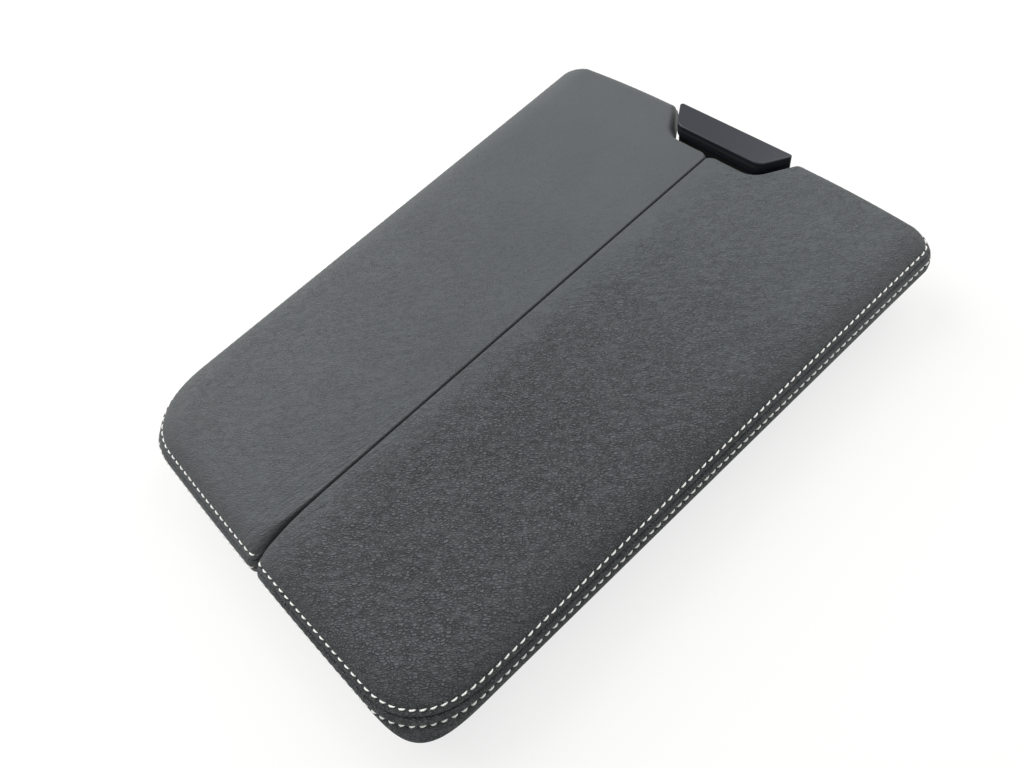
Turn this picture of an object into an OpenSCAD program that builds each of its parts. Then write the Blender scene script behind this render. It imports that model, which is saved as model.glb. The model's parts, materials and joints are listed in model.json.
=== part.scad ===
// Split armrest lid assembly for a centre console.
// Two padded lids swing outwards on a base frame, and a button at the front end frees them.
// X is across the armrest, +Y points to the button end, +Z is up, z = 0 is the frame's underside.

/* [Lids] */
// Length of the lids at their lower edge
lid_len = 359; // [346:1:380]
// Half width of the closed pair at the rear end
half_w_rear = 117.5; // [116:0.5:124]
// Half width of the closed pair at the front end
half_w_front = 129.3; // [126:0.1:136]
// Half of the split between the lids
split_half = 0.6; // [0.4:0.1:1.2]
// Sideways size of the rear outer corner
rear_corner_x = 42; // [24:1:50]
// Lengthwise size of the rear outer corner
rear_corner_y = 38; // [24:1:50]
// Sideways size of the rounding where the split meets the rear end
rear_nose_x = 5; // [2.5:0.5:8]
// Lengthwise size of the rounding where the split meets the rear end
rear_nose_y = 9; // [3:0.5:12]
// Radius of the front outer corner
front_corner_r = 25; // [14:1:28]
// How far the rear edge bows out in its middle
rear_bow = 2.4; // [0:0.1:5]
// How far the front edge bows out in its middle
front_bow = 1.5; // [0:0.1:4]

/* [Padding] */
// Height of the lids' lower edge above the frame's deck
lid_gap = 3; // [2.8:0.1:4]
// Height of the upper stitch row above the lower edge of the cover
skirt_h = 15; // [14:0.5:19]
// Height of the lower stitch row above the lower edge of the cover
low_row_h = 6.9; // [5:0.1:7.5]
// Rise of the padded top above the upper stitch row
crown_h = 6.7; // [4:0.1:9]
// Extra rise in the middle of a lid
dome_h = 0.8; // [0.2:0.1:2]
// Width of the roll along the outer side
roll_side = 22; // [14:1:24]
// Width of the roll along the rear end
roll_rear = 15; // [8:1:24]
// Width of the roll along the front end
roll_front = 9; // [6:0.5:16]
// Width of the roll along the split
roll_split = 2; // [1.5:0.5:5]
// Width of the roll along the recess
roll_recess = 5; // [3:0.5:8]
// How much wider the lower edge is than the lower stitch row at the outer side
side_swell = 0.5; // [0:0.1:1]
// Thickness of the leather
leather_t = 1.4; // [0.9:0.1:1.6]
// Width of the leather turned in under the lid
hem_w = 7; // [5:0.5:7.5]
// Inset of the upper stitch row at the outer side
lean_side = 3; // [1:0.1:4]
// Inset of the upper stitch row at the rear end
lean_rear = 5; // [2:0.1:6]
// Inset of the upper stitch row at the front end
lean_front = 2.5; // [2:0.1:6]

/* [Carrier and liner] */
// Height of the carrier's top plate above the cover's lower edge
carrier_rise = 5.5; // [5.4:0.1:6.5]
// Thickness of the carrier's top plate
carrier_t = 2.5; // [2:0.1:3]
// Thickness of the carrier's ribs
rib_t = 2; // [1.2:0.1:3]
// Spacing of the carrier's ribs
rib_pitch = 36; // [28:1:50]
// Thickness of the liner
liner_t = 2; // [1.8:0.1:2]
// Depth of the liner's sunk panel
liner_panel_d = 0.7; // [0.3:0.1:1]
// Clearance between pieces that are fixed together
fit_gap = 0.3; // [0.1:0.05:0.35]

/* [Base frame] */
// Distance from the frame's side out to the hinge axes
frame_reach = 10; // [9:0.5:12]
// Distance from the lids' rear end to the frame's rear end
frame_rear_inset = 21.5; // [19.5:0.5:25.5]
// Distance from the lids' front end to the frame's front end
frame_inset = 27.5; // [26:0.5:29]
// Height of the frame's deck
deck_z = 22; // [21:0.1:24]
// Thickness of the deck
deck_t = 2.5; // [2:0.1:3.5]
// Thickness of the frame's walls
wall_t = 2.5; // [2:0.1:3]
// Width of the side bars of the frame
bar_side = 28; // [24:1:32]
// Width of the rear bar of the frame
bar_rear = 26; // [22:1:32]
// Width of the front bar of the frame
bar_front = 34; // [33:1:38]
// Corner radius of the frame
frame_corner_r = 20; // [12:1:26]
// Distance of the bolt holes in from the frame's sides
bolt_in_x = 14; // [13:0.5:16]
// Distance of the bolt holes in from the frame's rear end
bolt_in_rear = 13; // [12:0.5:15]
// Distance of the bolt holes in from the frame's front end
bolt_in_front = 17; // [15:0.5:18]
// Radius of the bolt holes
bolt_r = 2.75; // [2.2:0.05:3.3]
// Radius of the bolt head's seat
bolt_head_r = 5.5; // [5:0.1:6]

/* [Hinges] */
// Distance of the hinge axes in from the lids' side, where the lids are narrower
hinge_inset = 13.86; // [13.4:0.02:14.6]
// Height of the hinge axes above the covers' lower edge
hinge_rise = 2; // [1.8:0.1:2.4]
// Distance of the rear hinges from the lids' rear end
rear_hinge_in = 69.5; // [63.5:1:89.5]
// Distance of the front hinges from the lids' front end
front_hinge_in = 84.5; // [81.5:1:99.5]
// Radius of the hinge pins
pin_r = 2.5; // [2:0.1:2.6]
// Running clearance of the pins
run_gap = 0.06; // [0.03:0.01:0.1]
// Wall of the hinge bushes
bush_t = 0.9; // [0.7:0.1:1]
// Outer radius of the arms' knuckles
knuckle_r = 5.2; // [5:0.1:5.4]
// Width of a knuckle
knuckle_w = 10; // [8:0.5:12]
// Radius of the frame's hinge lugs
lug_r = 5; // [4.6:0.1:5.2]
// Thickness of a hinge lug
lug_t = 5; // [4:0.5:6]
// Space between the knuckle and the second lug, for the spring or the damper
side_bay_w = 10; // [9.6:0.1:11]
// Wire radius of the lid springs
wire_r = 0.7; // [0.5:0.05:0.8]
// Turns of the lid springs
spring_turns = 4; // [3:1:4]
// Length of the arms inwards from the hinge axis
arm_len = 36; // [32:1:40]

/* [Button] */
// Half width of the button plate at its front edge
button_w_front = 39.7; // [38:0.1:41]
// Half width of the button plate at its rear edge
button_w_rear = 29; // [28:0.1:31]
// Length of the button plate
button_len = 17; // [16.5:0.1:18]
// Distance from the lids' front end to the button's front edge
button_inset = 6; // [5:0.1:7]
// Height of the button plate's top above the upper stitch row
button_rise = 9.5; // [9:0.1:11]
// Thickness of the button plate
button_t = 3; // [2.4:0.1:3.4]
// Corner radius of the button plate
button_corner_r = 8; // [5:0.5:9]
// Bevel of the button plate
button_bevel = 0.5; // [0.3:0.1:0.8]
// Gap between the button plate and the recess
recess_gap = 3.2; // [2.8:0.1:4]
// Wall of the button tower
tower_t = 2.2; // [1.8:0.1:2.6]
// Radius of the button's pin
button_pin_r = 1.5; // [1.2:0.1:2]

/* [Latch] */
// Radius of the latch pin
latch_pin_r = 2; // [1.6:0.1:2.2]
// Outer radius of the rocker's barrel
barrel_r = 4; // [3.6:0.1:4.4]
// Height of the latch pin above the frame's underside
latch_z = 9; // [8.5:0.1:9.5]
// Distance of the latch pin from the lids' front end
latch_inset = 30; // [29.5:0.1:30.5]
// Distance of the strikers from the middle
striker_x = 14; // [13:0.1:15]
// Half width of a striker loop
striker_half_w = 4; // [3.8:0.1:4.6]
// Wire radius of the strikers
striker_r = 1.5; // [1.3:0.1:1.6]
// How far a hook reaches over its striker
hook_bite = 1.5; // [1:0.1:1.6]
// Width of a hook
hook_w = 4; // [3:0.1:4.2]

/* [Hidden] */
$fn = 48;

leather = [0.2, 0.21, 0.21];
plastic = [0.13, 0.13, 0.14];
liner_grey = [0.24, 0.24, 0.25];
foam_cream = [0.78, 0.74, 0.6];
steel = [0.62, 0.63, 0.65];
nylon = [0.85, 0.84, 0.78];
rubber = [0.08, 0.08, 0.08];

rear_y = -lid_len / 2;
front_y = lid_len / 2;
skirt_z = deck_z + lid_gap;
low_row_z = skirt_z + low_row_h;
stitch_z = skirt_z + skirt_h;
hinge_z = skirt_z + hinge_rise;
carrier_z = skirt_z + carrier_rise;
carrier_top = carrier_z + carrier_t;
liner_z = skirt_z - 0.4;
liner_top = liner_z + liner_t;
arm_z = liner_top + 0.4;
arm_top = carrier_z - 0.15;
foam_z = carrier_top + fit_gap;
slack = 0.03;

rear_hinge_y = rear_y + rear_hinge_in;
front_hinge_y = front_y - front_hinge_in;
hinge_share = 0.2;
hinge_x = min(half_w(rear_y + lid_len * hinge_share), half_w(front_hinge_y)) - hinge_inset;
frame_half_w = hinge_x - frame_reach;
frame_front = front_y - frame_inset;
frame_rear = rear_y + frame_rear_inset;
open_front = frame_front - bar_front;
open_rear = frame_rear + bar_rear;
open_half_w = frame_half_w - bar_side;

button_front = front_y - button_inset;
button_rear = button_front - button_len;
button_top = stitch_z + button_rise;
button_slope = (button_w_front - button_w_rear) / button_len;
button_slant = sqrt(1 + button_slope * button_slope);
tower_inset = 1.6;
tower_top = button_top - button_t - 4.1;
nose_front = button_front - tower_inset;
pivot_y = button_rear + 9;
pivot_z = button_top - button_t - 8.5;

latch_y = front_y - latch_inset;
bay_half_w = striker_x + 10;
bay_rear = latch_y - 15.5;
bay_front = button_front - tower_inset - tower_t;
bay_floor = wall_t;
cover_rear = bay_rear - 12;
cover_front = button_rear - 2;
cover_half_w = bay_half_w + 9;
striker_y = latch_y - 7;
striker_z = latch_z + 7.7;
foot_y = button_rear - 1.5;
foot_z = latch_z + 6.6;
recess_rear = button_rear - recess_gap;

lug_side = knuckle_w / 2 + 0.5;
lug2_side = knuckle_w / 2 + side_bay_w + 0.5;
hinge_half_a = lug_side + lug_t + 2.5;
hinge_half_b = lug2_side + lug_t + 2.5;
bush_r = pin_r + run_gap + bush_t;

// Round a corner b between a and c: n + 1 points on an arc of radius r.
function unit(v) = v / norm(v);
function turn(a) = a > 180 ? a - 360 : a < -180 ? a + 360 : a;
function rounded(a, b, c, r, n) =
    let (u = unit(a - b), v = unit(c - b), h = acos(u * v) / 2)
    let (m = b + unit(u + v) * r / sin(h))
    let (p = b + u * r / tan(h) - m, q = b + v * r / tan(h) - m)
    let (a0 = atan2(p[1], p[0]), da = turn(atan2(q[1], q[0]) - a0))
    [for (i = [0:n]) m + r * [cos(a0 + da * i / n), sin(a0 + da * i / n)]];

// Half width of the lower edge at a place along the armrest
function half_w(y) = half_w_rear + (half_w_front - half_w_rear) * (y - rear_y) / lid_len;

// The recess is the button's outline, moved out by the gap
function recess_x(y) = button_w_rear + (y - button_rear) * button_slope + recess_gap * button_slant;
recess_in = [recess_x(recess_rear), recess_rear];
recess_out = [recess_x(front_y), front_y];

// Lower outline of the right lid, anticlockwise from the split's rear end.
// Each entry is [point, roll width].
function power_arc(t, n) = 1 - pow(t, 2 / n);
nose_power = 2.2;
corner_power = 2.4;
low_corner_power = 3;
nose_steps = 5;
corner_steps = 9;
side_steps = 7;
split_steps = 9;
// The split's roll widens towards the rear end, over this length
flare_len = 9;
function split_roll(y) = roll_split + (roll_rear - roll_split) * exp(-(y - rear_y) / flare_len);
function rear_edge(x) = rear_y + rear_bow * pow(x / half_w_rear, 2);
nose_pts = [for (i = [0:nose_steps])
    let (t = 90 * i / nose_steps, x = split_half + rear_nose_x * power_arc(cos(t), nose_power))
    let (y = rear_edge(x) + rear_nose_y * power_arc(sin(t), nose_power))
    [[x, y], split_roll(y)]];
rear_x0 = split_half + rear_nose_x;
rear_x1 = half_w_rear - rear_corner_x;
rear_pts = [for (i = [1:3]) let (x = rear_x0 + (rear_x1 - rear_x0) * i / 4) [[x, rear_edge(x)], roll_rear]];
function corner_pts(power) = [for (i = [0:corner_steps])
    let (t = 90 * i / corner_steps)
    let (y = rear_edge(rear_x1) + rear_corner_y * power_arc(cos(t), power))
    let (x = half_w(y) - rear_corner_x * power_arc(sin(t), power))
    [[x, y], roll_rear + (roll_side - roll_rear) * i / corner_steps]];
side_y0 = rear_edge(rear_x1) + rear_corner_y;
side_y1 = front_y - front_corner_r - 2;
side_pts = [for (i = [1:side_steps])
    let (y = side_y0 + (side_y1 - side_y0) * i / (side_steps + 1)) [[half_w(y), y], roll_side]];
outer_front = [half_w_front, front_y - front_bow];
front_corner = rounded([half_w(0), 0], outer_front, recess_out, front_corner_r, 7);
front_corner_pts = [for (i = [0:7]) [front_corner[i], roll_side + (roll_front - roll_side) * i / 7]];
lip_r = 5;
function front_edge(x) = front_y - front_bow * pow((x - recess_out[0]) / (half_w_front - recess_out[0]), 2);
front_pts = [for (i = [1:3])
    let (x = front_corner[7][0] + (recess_out[0] + lip_r + 1 - front_corner[7][0]) * i / 4)
    [[x, front_edge(x)], roll_front]];
lip = rounded(outer_front, recess_out, recess_in, lip_r, 4);
lip_pts = [for (i = [0:4]) [lip[i], roll_front + (roll_recess - roll_front) * i / 4]];
dip = rounded(recess_out, recess_in, [split_half, recess_rear], button_corner_r + recess_gap, 5);
dip_pts = [for (p = dip) [p, roll_recess]];
tip = rounded(recess_in, [split_half, recess_rear], [split_half, 0], lip_r, 4);
tip_pts = [for (i = [0:4]) [tip[i], roll_recess + (roll_split - roll_recess) * i / 4]];
split_y0 = tip[4][1];
split_y1 = rear_y + rear_nose_y;
split_pts = [for (i = [1:split_steps])
    let (y = split_y1 + (split_y0 - split_y1) * pow(1 - i / (split_steps + 1), 2))
    [[split_half, y], split_roll(y)]];
function lid_outline(power) = concat(nose_pts, rear_pts, corner_pts(power), side_pts, front_corner_pts,
    front_pts, lip_pts, dip_pts, tip_pts, split_pts);
outline = lid_outline(corner_power);
outline_n = len(outline);

// The lower edge turns the rear corner more tightly
low_outline = lid_outline(low_corner_power);

// Squeeze the outline's box by insets at the split, the side, the rear and the front.
lid_w = half_w_front - split_half;
function squeeze(p, in) = [split_half + in[0] + (p[0] - split_half) * (lid_w - in[0] - in[1]) / lid_w,
    rear_y + in[2] + (p[1] - rear_y) * (lid_len - in[2] - in[3]) / lid_len];
function even(d) = [d, d, d, d];
lean = [0, lean_side, lean_rear, lean_front];

// Share of the crown's height reached at a share of the roll's width from the stitch row
roll_power = 2.3;
function roll_share(u) = 1 - pow(1 - min(1, u), roll_power);
top_steps = [1, 2.4, 4.5, 8, 14, 24];

// Rings of the lid's skin: the wall up to the upper row, then the rolled top.
// in is the distance inside the leather's outer face.
// Each wall step is [height, inset, share of the swell].
wall_steps = [[0, 1, 0.3], [1.2, 0.1, 1], [3.5, 0, 1]];
mid_wall = 0.55;
lean_power = 1.1;
function wall_ring(z, d, in, swell = 0) =
    let (s = (z - skirt_z) / low_row_h, out = [0, side_swell * swell, 0, 0])
    [for (i = [0:outline_n - 1]) let (p = low_outline[i][0] * (1 - s) + outline[i][0] * s)
        concat(squeeze(p, even(d + in) - out), [z])];
function lean_ring(z, in) =
    let (s = pow(max(0, z - low_row_z) / (stitch_z - low_row_z), lean_power))
    [for (e = outline) concat(squeeze(e[0], lean * s + even(in)), [z])];
function top_ring(d, in) = [for (e = outline)
    concat(squeeze(e[0], lean + even(d + in)), [stitch_z + crown_h * roll_share(d / e[1]) - in])];
dome_at = [(split_half + half_w_front) / 2, 0];
function cover_rings(in) = concat(
    [wall_ring(skirt_z + in, hem_w - in, in)],
    [for (w = wall_steps) wall_ring(skirt_z + max(in, w[0]), w[1], in, w[2])],
    [for (s = [0, mid_wall]) lean_ring(low_row_z + s * (stitch_z - low_row_z), in)],
    [top_ring(0, in)],
    [for (d = top_steps) top_ring(d, in)]);

// Faces between two neighbouring rings of n points, starting at point a and point b
function band(a, b, n) = [for (i = [0:n - 1]) for (f = [0, 1]) let (j = (i + 1) % n)
    f == 0 ? [a + i, b + i, a + j] : [a + j, b + i, b + j]];
function fan(a, top, n) = [for (i = [0:n - 1]) [a + i, top, a + (i + 1) % n]];
function flip(faces) = [for (f = faces) [f[2], f[1], f[0]]];
function joined(rings) = [for (r = rings) each r];

module cover_shape() {
    outer = cover_rings(0);
    inner = cover_rings(leather_t);
    m = len(outer);
    n = outline_n;
    dome = stitch_z + crown_h + dome_h;
    tops = [concat(dome_at, [dome]), concat(dome_at, [dome - leather_t])];
    pts = concat(joined(outer), joined(inner), tops);
    faces = concat(
        [for (k = [0:m - 2]) each band(k * n, (k + 1) * n, n)],
        fan((m - 1) * n, 2 * m * n, n),
        flip([for (k = [m:2 * m - 2]) each band(k * n, (k + 1) * n, n)]),
        flip(fan((2 * m - 1) * n, 2 * m * n + 1, n)),
        flip(band(0, m * n, n)));
    polyhedron(pts, faces, convexity = 8);
}

module foam_shape() {
    in = leather_t + fit_gap;
    mid_z = low_row_z + mid_wall * (stitch_z - low_row_z);
    rings = concat([for (z = [foam_z, mid_z]) lean_ring(z, in)], [top_ring(0, in)],
        [for (d = top_steps) top_ring(d, in)]);
    m = len(rings);
    n = outline_n;
    dome = stitch_z + crown_h + dome_h - in;
    pts = concat(joined(rings), [concat(dome_at, [dome])], [concat(dome_at, [foam_z])]);
    faces = concat([for (k = [0:m - 2]) each band(k * n, (k + 1) * n, n)],
        fan((m - 1) * n, m * n, n), flip(fan(0, m * n + 1, n)));
    polyhedron(pts, faces, convexity = 8);
}

// Flat outline of the lid, squeezed by an even inset
module lid_area(d) {
    polygon([for (e = outline) squeeze(e[0], even(d))]);
}

// Extrude an outline drawn in X and Z along Y
module along_y(y0, y1) {
    translate([0, y1, 0]) rotate([90, 0, 0]) linear_extrude(y1 - y0) children();
}

// Extrude an outline drawn in Y and Z along X
module along_x(x0, x1) {
    translate([x0, 0, 0]) rotate([90, 0, 90]) linear_extrude(x1 - x0) children();
}

module rod_y(x, z, r, y0, y1) {
    translate([x, y1, z]) rotate([90, 0, 0]) cylinder(h = y1 - y0, r = r);
}

module rod_x(y, z, r, x0, x1) {
    translate([x0, y, z]) rotate([0, 90, 0]) cylinder(h = x1 - x0, r = r);
}

// Rounded rectangle between two corners
module plate_area(x0, x1, y0, y1, r) {
    translate([x0 + r, y0]) square([x1 - x0 - 2 * r, y1 - y0]);
    translate([x0, y0 + r]) square([x1 - x0, y1 - y0 - 2 * r]);
    for (x = [x0 + r, x1 - r], y = [y0 + r, y1 - r]) translate([x, y]) circle(r);
}

// Button outline, moved out by d
function button_pts(d) =
    let (yf = button_front + d, yr = button_rear - d)
    let (xf = button_w_front + d * (button_slant + button_slope))
    let (xr = button_w_rear + d * (button_slant - button_slope))
    let (r = max(2, button_corner_r + d))
    concat(rounded([-xf, yf], [-xr, yr], [xr, yr], r, 8), rounded([-xr, yr], [xr, yr], [xf, yf], r, 8),
        rounded([xr, yr], [xf, yf], [-xf, yf], 1.5, 4), rounded([xf, yf], [-xf, yf], [-xr, yr], 1.5, 4));

module button_area(d) {
    polygon(button_pts(d));
}

// Countersunk screw, head down, standing on z = 0
head_rim = 0.4;
module screw(r, head_r, l) {
    neck_z = head_rim + head_r - r;
    rotate_extrude()
        polygon([[0, 0], [head_r, 0], [head_r, head_rim], [r, neck_z], [r, l - r * 0.6], [r * 0.4, l], [0, l]]);
}

module screw_hole(r, head_r, l) {
    rim_z = head_rim + slack;
    rotate_extrude() polygon([[0, -1], [head_r + slack, -1], [head_r + slack, rim_z],
        [r + slack, rim_z + head_r - r], [r + slack, l], [0, l]]);
}

// Round wire along a list of points. up is a direction that the wire never points along.
function wire_rings(path, r, up, sides) = [for (i = [0:len(path) - 1])
    let (t = unit(path[min(i + 1, len(path) - 1)] - path[max(i - 1, 0)]))
    let (n = unit(cross(t, up)), b = cross(t, n))
    [for (k = [0:sides - 1]) path[i] + r * (n * cos(360 * k / sides) + b * sin(360 * k / sides))]];

module wire(path, r, up, sides = 6) {
    rings = wire_rings(path, r, up, sides);
    m = len(path);
    faces = concat([for (k = [0:m - 2]) each band(k * sides, (k + 1) * sides, sides)],
        [[for (i = [0:sides - 1]) i]], [[for (i = [0:sides - 1]) m * sides - 1 - i]]);
    polyhedron(joined(rings), faces, convexity = 10);
}

// Hinge stations of the right side
stations = [rear_hinge_y, front_hinge_y];

// Frame pieces
module lug_area() {
    translate([hinge_x, hinge_z]) circle(lug_r);
    polygon([[hinge_x - 22, deck_z - 1], [frame_half_w - 8, deck_z - 10], [frame_half_w, deck_z - 4],
        [hinge_x, hinge_z - lug_r], [hinge_x - lug_r * 0.6, hinge_z + lug_r * 0.8]]);
}

module side_lugs() {
    for (y = stations) {
        along_y(y - lug_side - lug_t, y - lug_side) lug_area();
        along_y(y + lug2_side, y + lug2_side + lug_t) lug_area();
    }
}

module frame_area(d) {
    plate_area(-frame_half_w + d, frame_half_w - d, frame_rear + d, frame_front - d, frame_corner_r - d);
}

// Outline of the opening into the bin, moved out by d
open_corner_r = 14;
module open_area(d) {
    plate_area(-open_half_w - d, open_half_w + d, open_rear - d, open_front + d, open_corner_r + d);
}

module frame_ring(z0, z1, d0, d1) {
    translate([0, 0, z0]) linear_extrude(z1 - z0) difference() {
        frame_area(d0);
        frame_area(d1);
    }
}

module frame_deck() {
    translate([0, 0, deck_z - deck_t]) linear_extrude(deck_t) difference() {
        frame_area(0);
        open_area(0);
    }
}

open_wall_low = 4;
module opening_wall() {
    translate([0, 0, open_wall_low]) linear_extrude(deck_z - open_wall_low) difference() {
        open_area(wall_t);
        open_area(0);
    }
}

// Ribs between the outer wall and the opening's wall
rib_low = 5;
rib_h = deck_z - deck_t - rib_low + 1;
rib_step = 30;
rear_rib_x = (frame_half_w - 36) / 5;
front_rib_x = frame_half_w - 33;
module frame_ribs() {
    for (s = [-1, 1], y = [frame_rear + 8 : rib_step : frame_front])
        if (y > open_rear + 12 && y < open_front - 4)
            translate([s * (open_half_w + bar_side / 2) - bar_side / 2 + 1, y - rib_t / 2, rib_low])
                cube([bar_side - 2, rib_t, rib_h]);
    for (i = [-5:2:5])
        translate([i * rear_rib_x - rib_t / 2, frame_rear + 1, rib_low]) cube([rib_t, bar_rear - 2, rib_h]);
    for (x = [-front_rib_x, front_rib_x])
        translate([x - rib_t / 2, open_front + 1, rib_low]) cube([rib_t, bar_front - 2, rib_h]);
}

module bolt_places() {
    for (s = [-1, 1], y = [frame_rear + bolt_in_rear, frame_front - bolt_in_front])
        translate([s * (frame_half_w - bolt_in_x), y, 0]) children();
}

bolt_boss_r = 8;
bolt_seat_d = 7;

// Rubber bumpers that carry the closed lids
bumper_side_x = frame_half_w - 9;
bumper_hole_r = 2;
rear_bumper_x = 45;
front_bumper_x = 58;
front_bumper_in = 8;
hinge_bumper_gap = [55, 50];
bumper_places = [for (s = [-1, 1]) each [
    [s * rear_bumper_x, frame_rear + bar_rear / 2 - 1],
    [s * bumper_side_x, rear_hinge_y + hinge_bumper_gap[0]],
    [s * bumper_side_x, front_hinge_y - hinge_bumper_gap[1]],
    [s * front_bumper_x, frame_front - front_bumper_in]]];

// The frame's nose, a box that is open below and reaches out under the recess
nose_r = 8;
nose_back = bay_rear - 8;
nose_half_w = recess_x(front_y) + 5;
bay_wall = 8;
module nose_pocket() {
    for (s = [0, 1]) mirror([s, 0, 0]) translate([0, 0, -1]) linear_extrude(deck_z - deck_t + 1) {
        plate_area(bay_half_w + bay_wall, nose_half_w - wall_t, frame_front, nose_front - wall_t, 3);
        plate_area(bay_half_w + bay_wall, nose_half_w - wall_t, nose_back + wall_t, frame_front - wall_t, 3);
    }
}

module base_frame() color(plastic) difference() {
    union() {
        frame_deck();
        frame_ring(0, deck_z, 0, wall_t);
        frame_ring(0, 2, 0, 6);
        opening_wall();
        frame_ribs();
        bolt_places() cylinder(h = deck_z, r = bolt_boss_r);
        for (s = [0, 1]) mirror([s, 0, 0]) side_lugs();
        linear_extrude(deck_z) plate_area(-nose_half_w, nose_half_w, nose_back, nose_front, nose_r);
        translate([0, 0, deck_z - 2]) linear_extrude(tower_top - deck_z + 2) button_area(-tower_inset);
        for (p = bumper_places) translate([p[0], p[1], deck_z - 5]) cylinder(h = 5, r = bumper_hole_r + 2);
    }
    nose_pocket();
    // Latch bay, open at the top under the latch cover and into the tower's shaft
    translate([-bay_half_w, bay_rear, bay_floor])
        cube([2 * bay_half_w, bay_front - bay_rear, deck_z - deck_t - bay_floor]);
    translate([-bay_half_w, bay_rear, bay_floor]) cube([2 * bay_half_w, cover_front - 1.5 - bay_rear, deck_z]);
    translate([0, 0, bay_floor]) linear_extrude(tower_top) button_area(-tower_inset - tower_t);
    // Window below the hooks, through which the latch can be seen and freed
    translate([0, 0, -1]) linear_extrude(1 + bay_floor)
        plate_area(-bay_half_w + 6, bay_half_w - 6, bay_rear + 4, latch_y - 2, 3);
    bolt_places() {
        translate([0, 0, -1]) cylinder(h = deck_z + 2, r = bolt_r);
        translate([0, 0, deck_z - bolt_seat_d]) cylinder(h = bolt_seat_d + 1, r = bolt_head_r);
    }
    for (p = bumper_places) translate([p[0], p[1], deck_z - 4]) cylinder(h = 5, r = bumper_hole_r + slack);
    for (s = [-1, 1], y = stations)
        rod_y(s * hinge_x, hinge_z, pin_r + slack, y - hinge_half_a - 1, y + hinge_half_b + 1);
    rod_x(latch_y, latch_z, latch_pin_r + slack, -bay_half_w - wall_t, bay_half_w + wall_t);
    rod_x(pivot_y, pivot_z, button_pin_r + slack, -nose_half_w - 4, nose_half_w + 4);
    cover_screw_places() translate([0, 0, -7]) cylinder(h = 8, r = cover_screw_r + slack);
}

cover_screw_r = 1.25;
cover_head_r = 2.3;
cover_screw_l = 7.5;
module cover_screw_places() {
    for (s = [-1, 1], y = [bay_rear - 3, cover_front - 5])
        translate([s * (cover_half_w - 4.5), y, deck_z]) children();
}

// Lid of the latch bay, with a slot for each striker
cover_t = 1.8;
module latch_cover() color(plastic) difference() {
    translate([0, 0, deck_z + 0.02]) linear_extrude(cover_t)
        plate_area(-cover_half_w, cover_half_w, cover_rear, cover_front, 4);
    for (s = [-1, 1]) translate([s * striker_x, striker_y, 0])
        linear_extrude(deck_z + 10) plate_area(-striker_half_w - 2.6, striker_half_w + 2.6, -3.6, 3.6, 2);
    cover_screw_places() translate([0, 0, cover_t]) mirror([0, 0, 1])
        screw_hole(cover_screw_r, cover_head_r, cover_screw_l + 2);
}

module latch_cover_screws() color(steel)
    cover_screw_places() translate([0, 0, cover_t]) mirror([0, 0, 1])
        screw(cover_screw_r, cover_head_r, cover_screw_l);

bumper_h = liner_z - deck_z - 0.3;
bumper_r = 4.5;
module deck_bumpers() color(rubber) for (p = bumper_places)
    translate([p[0], p[1], deck_z]) rotate_extrude()
        polygon([[0, -3.6], [bumper_hole_r, -3.6], [bumper_hole_r, 0.02], [bumper_r, 0.02],
            [bumper_r, bumper_h - 1], [bumper_r - 1, bumper_h], [0, bumper_h]]);

module hinge_pins() {
    for (y = stations) {
        rod_y(hinge_x, hinge_z, pin_r, y - lug_side - lug_t - 0.1, y + lug2_side + lug_t + 1.5);
        rod_y(hinge_x, hinge_z, pin_r + 1.5, y - lug_side - lug_t - 1.6, y - lug_side - lug_t - 0.1);
    }
}

// Lid spring: one leg on the deck, turns round the pin, one leg under the rear arm
coil_r = pin_r + 1.7;
turn_steps = 14;
module lid_spring_shape() {
    y0 = rear_hinge_y + knuckle_w / 2 + wire_r + 0.4;
    y1 = rear_hinge_y + lug2_side - wire_r - 0.3;
    steps = spring_turns * turn_steps + 10;
    coil = [for (i = [0:steps]) let (a = 270 + (360 * spring_turns + 205) * i / steps)
        [hinge_x + coil_r * cos(a), y0 + (y1 - y0) * i / steps, hinge_z + coil_r * sin(a)]];
    rest = [hinge_x - 13, y1, arm_z - wire_r - 0.4];
    wire(concat([[frame_half_w - 6, y0, hinge_z - coil_r]], coil, [rest, rest - [5, 0, 0]]), wire_r, [0, 1, 0]);
}

// Barrel damper: a body on the frame and a rotor keyed to the front arm
module damper_body_shape() {
    y0 = front_hinge_y + knuckle_w / 2;
    difference() {
        along_y(y0 + 2.3, y0 + side_bay_w - 0.1) {
            translate([hinge_x, hinge_z]) circle(lug_r);
            polygon([[frame_half_w - 8, deck_z + 0.05], [hinge_x - 1, deck_z + 0.05], [hinge_x, hinge_z - 1],
                [hinge_x - 4, hinge_z]]);
        }
        rod_y(hinge_x, hinge_z, pin_r + 0.3, y0, y0 + side_bay_w + 1);
    }
}

module damper_rotor_shape() {
    y0 = front_hinge_y + knuckle_w / 2;
    difference() {
        union() {
            rod_y(hinge_x, hinge_z, lug_r - 0.4, y0 + 0.1, y0 + 2.1);
            translate([hinge_x - 1.2, y0 - 1.5, hinge_z - knuckle_r + 0.3]) cube([2.4, 2, 1]);
        }
        rod_y(hinge_x, hinge_z, pin_r + 0.3, y0 - 2, y0 + 3);
    }
}

latch_pin_half_l = bay_half_w + wall_t - 0.05;
module latch_pin() color(steel) rod_x(latch_y, latch_z, latch_pin_r, -latch_pin_half_l, latch_pin_half_l);

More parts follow.
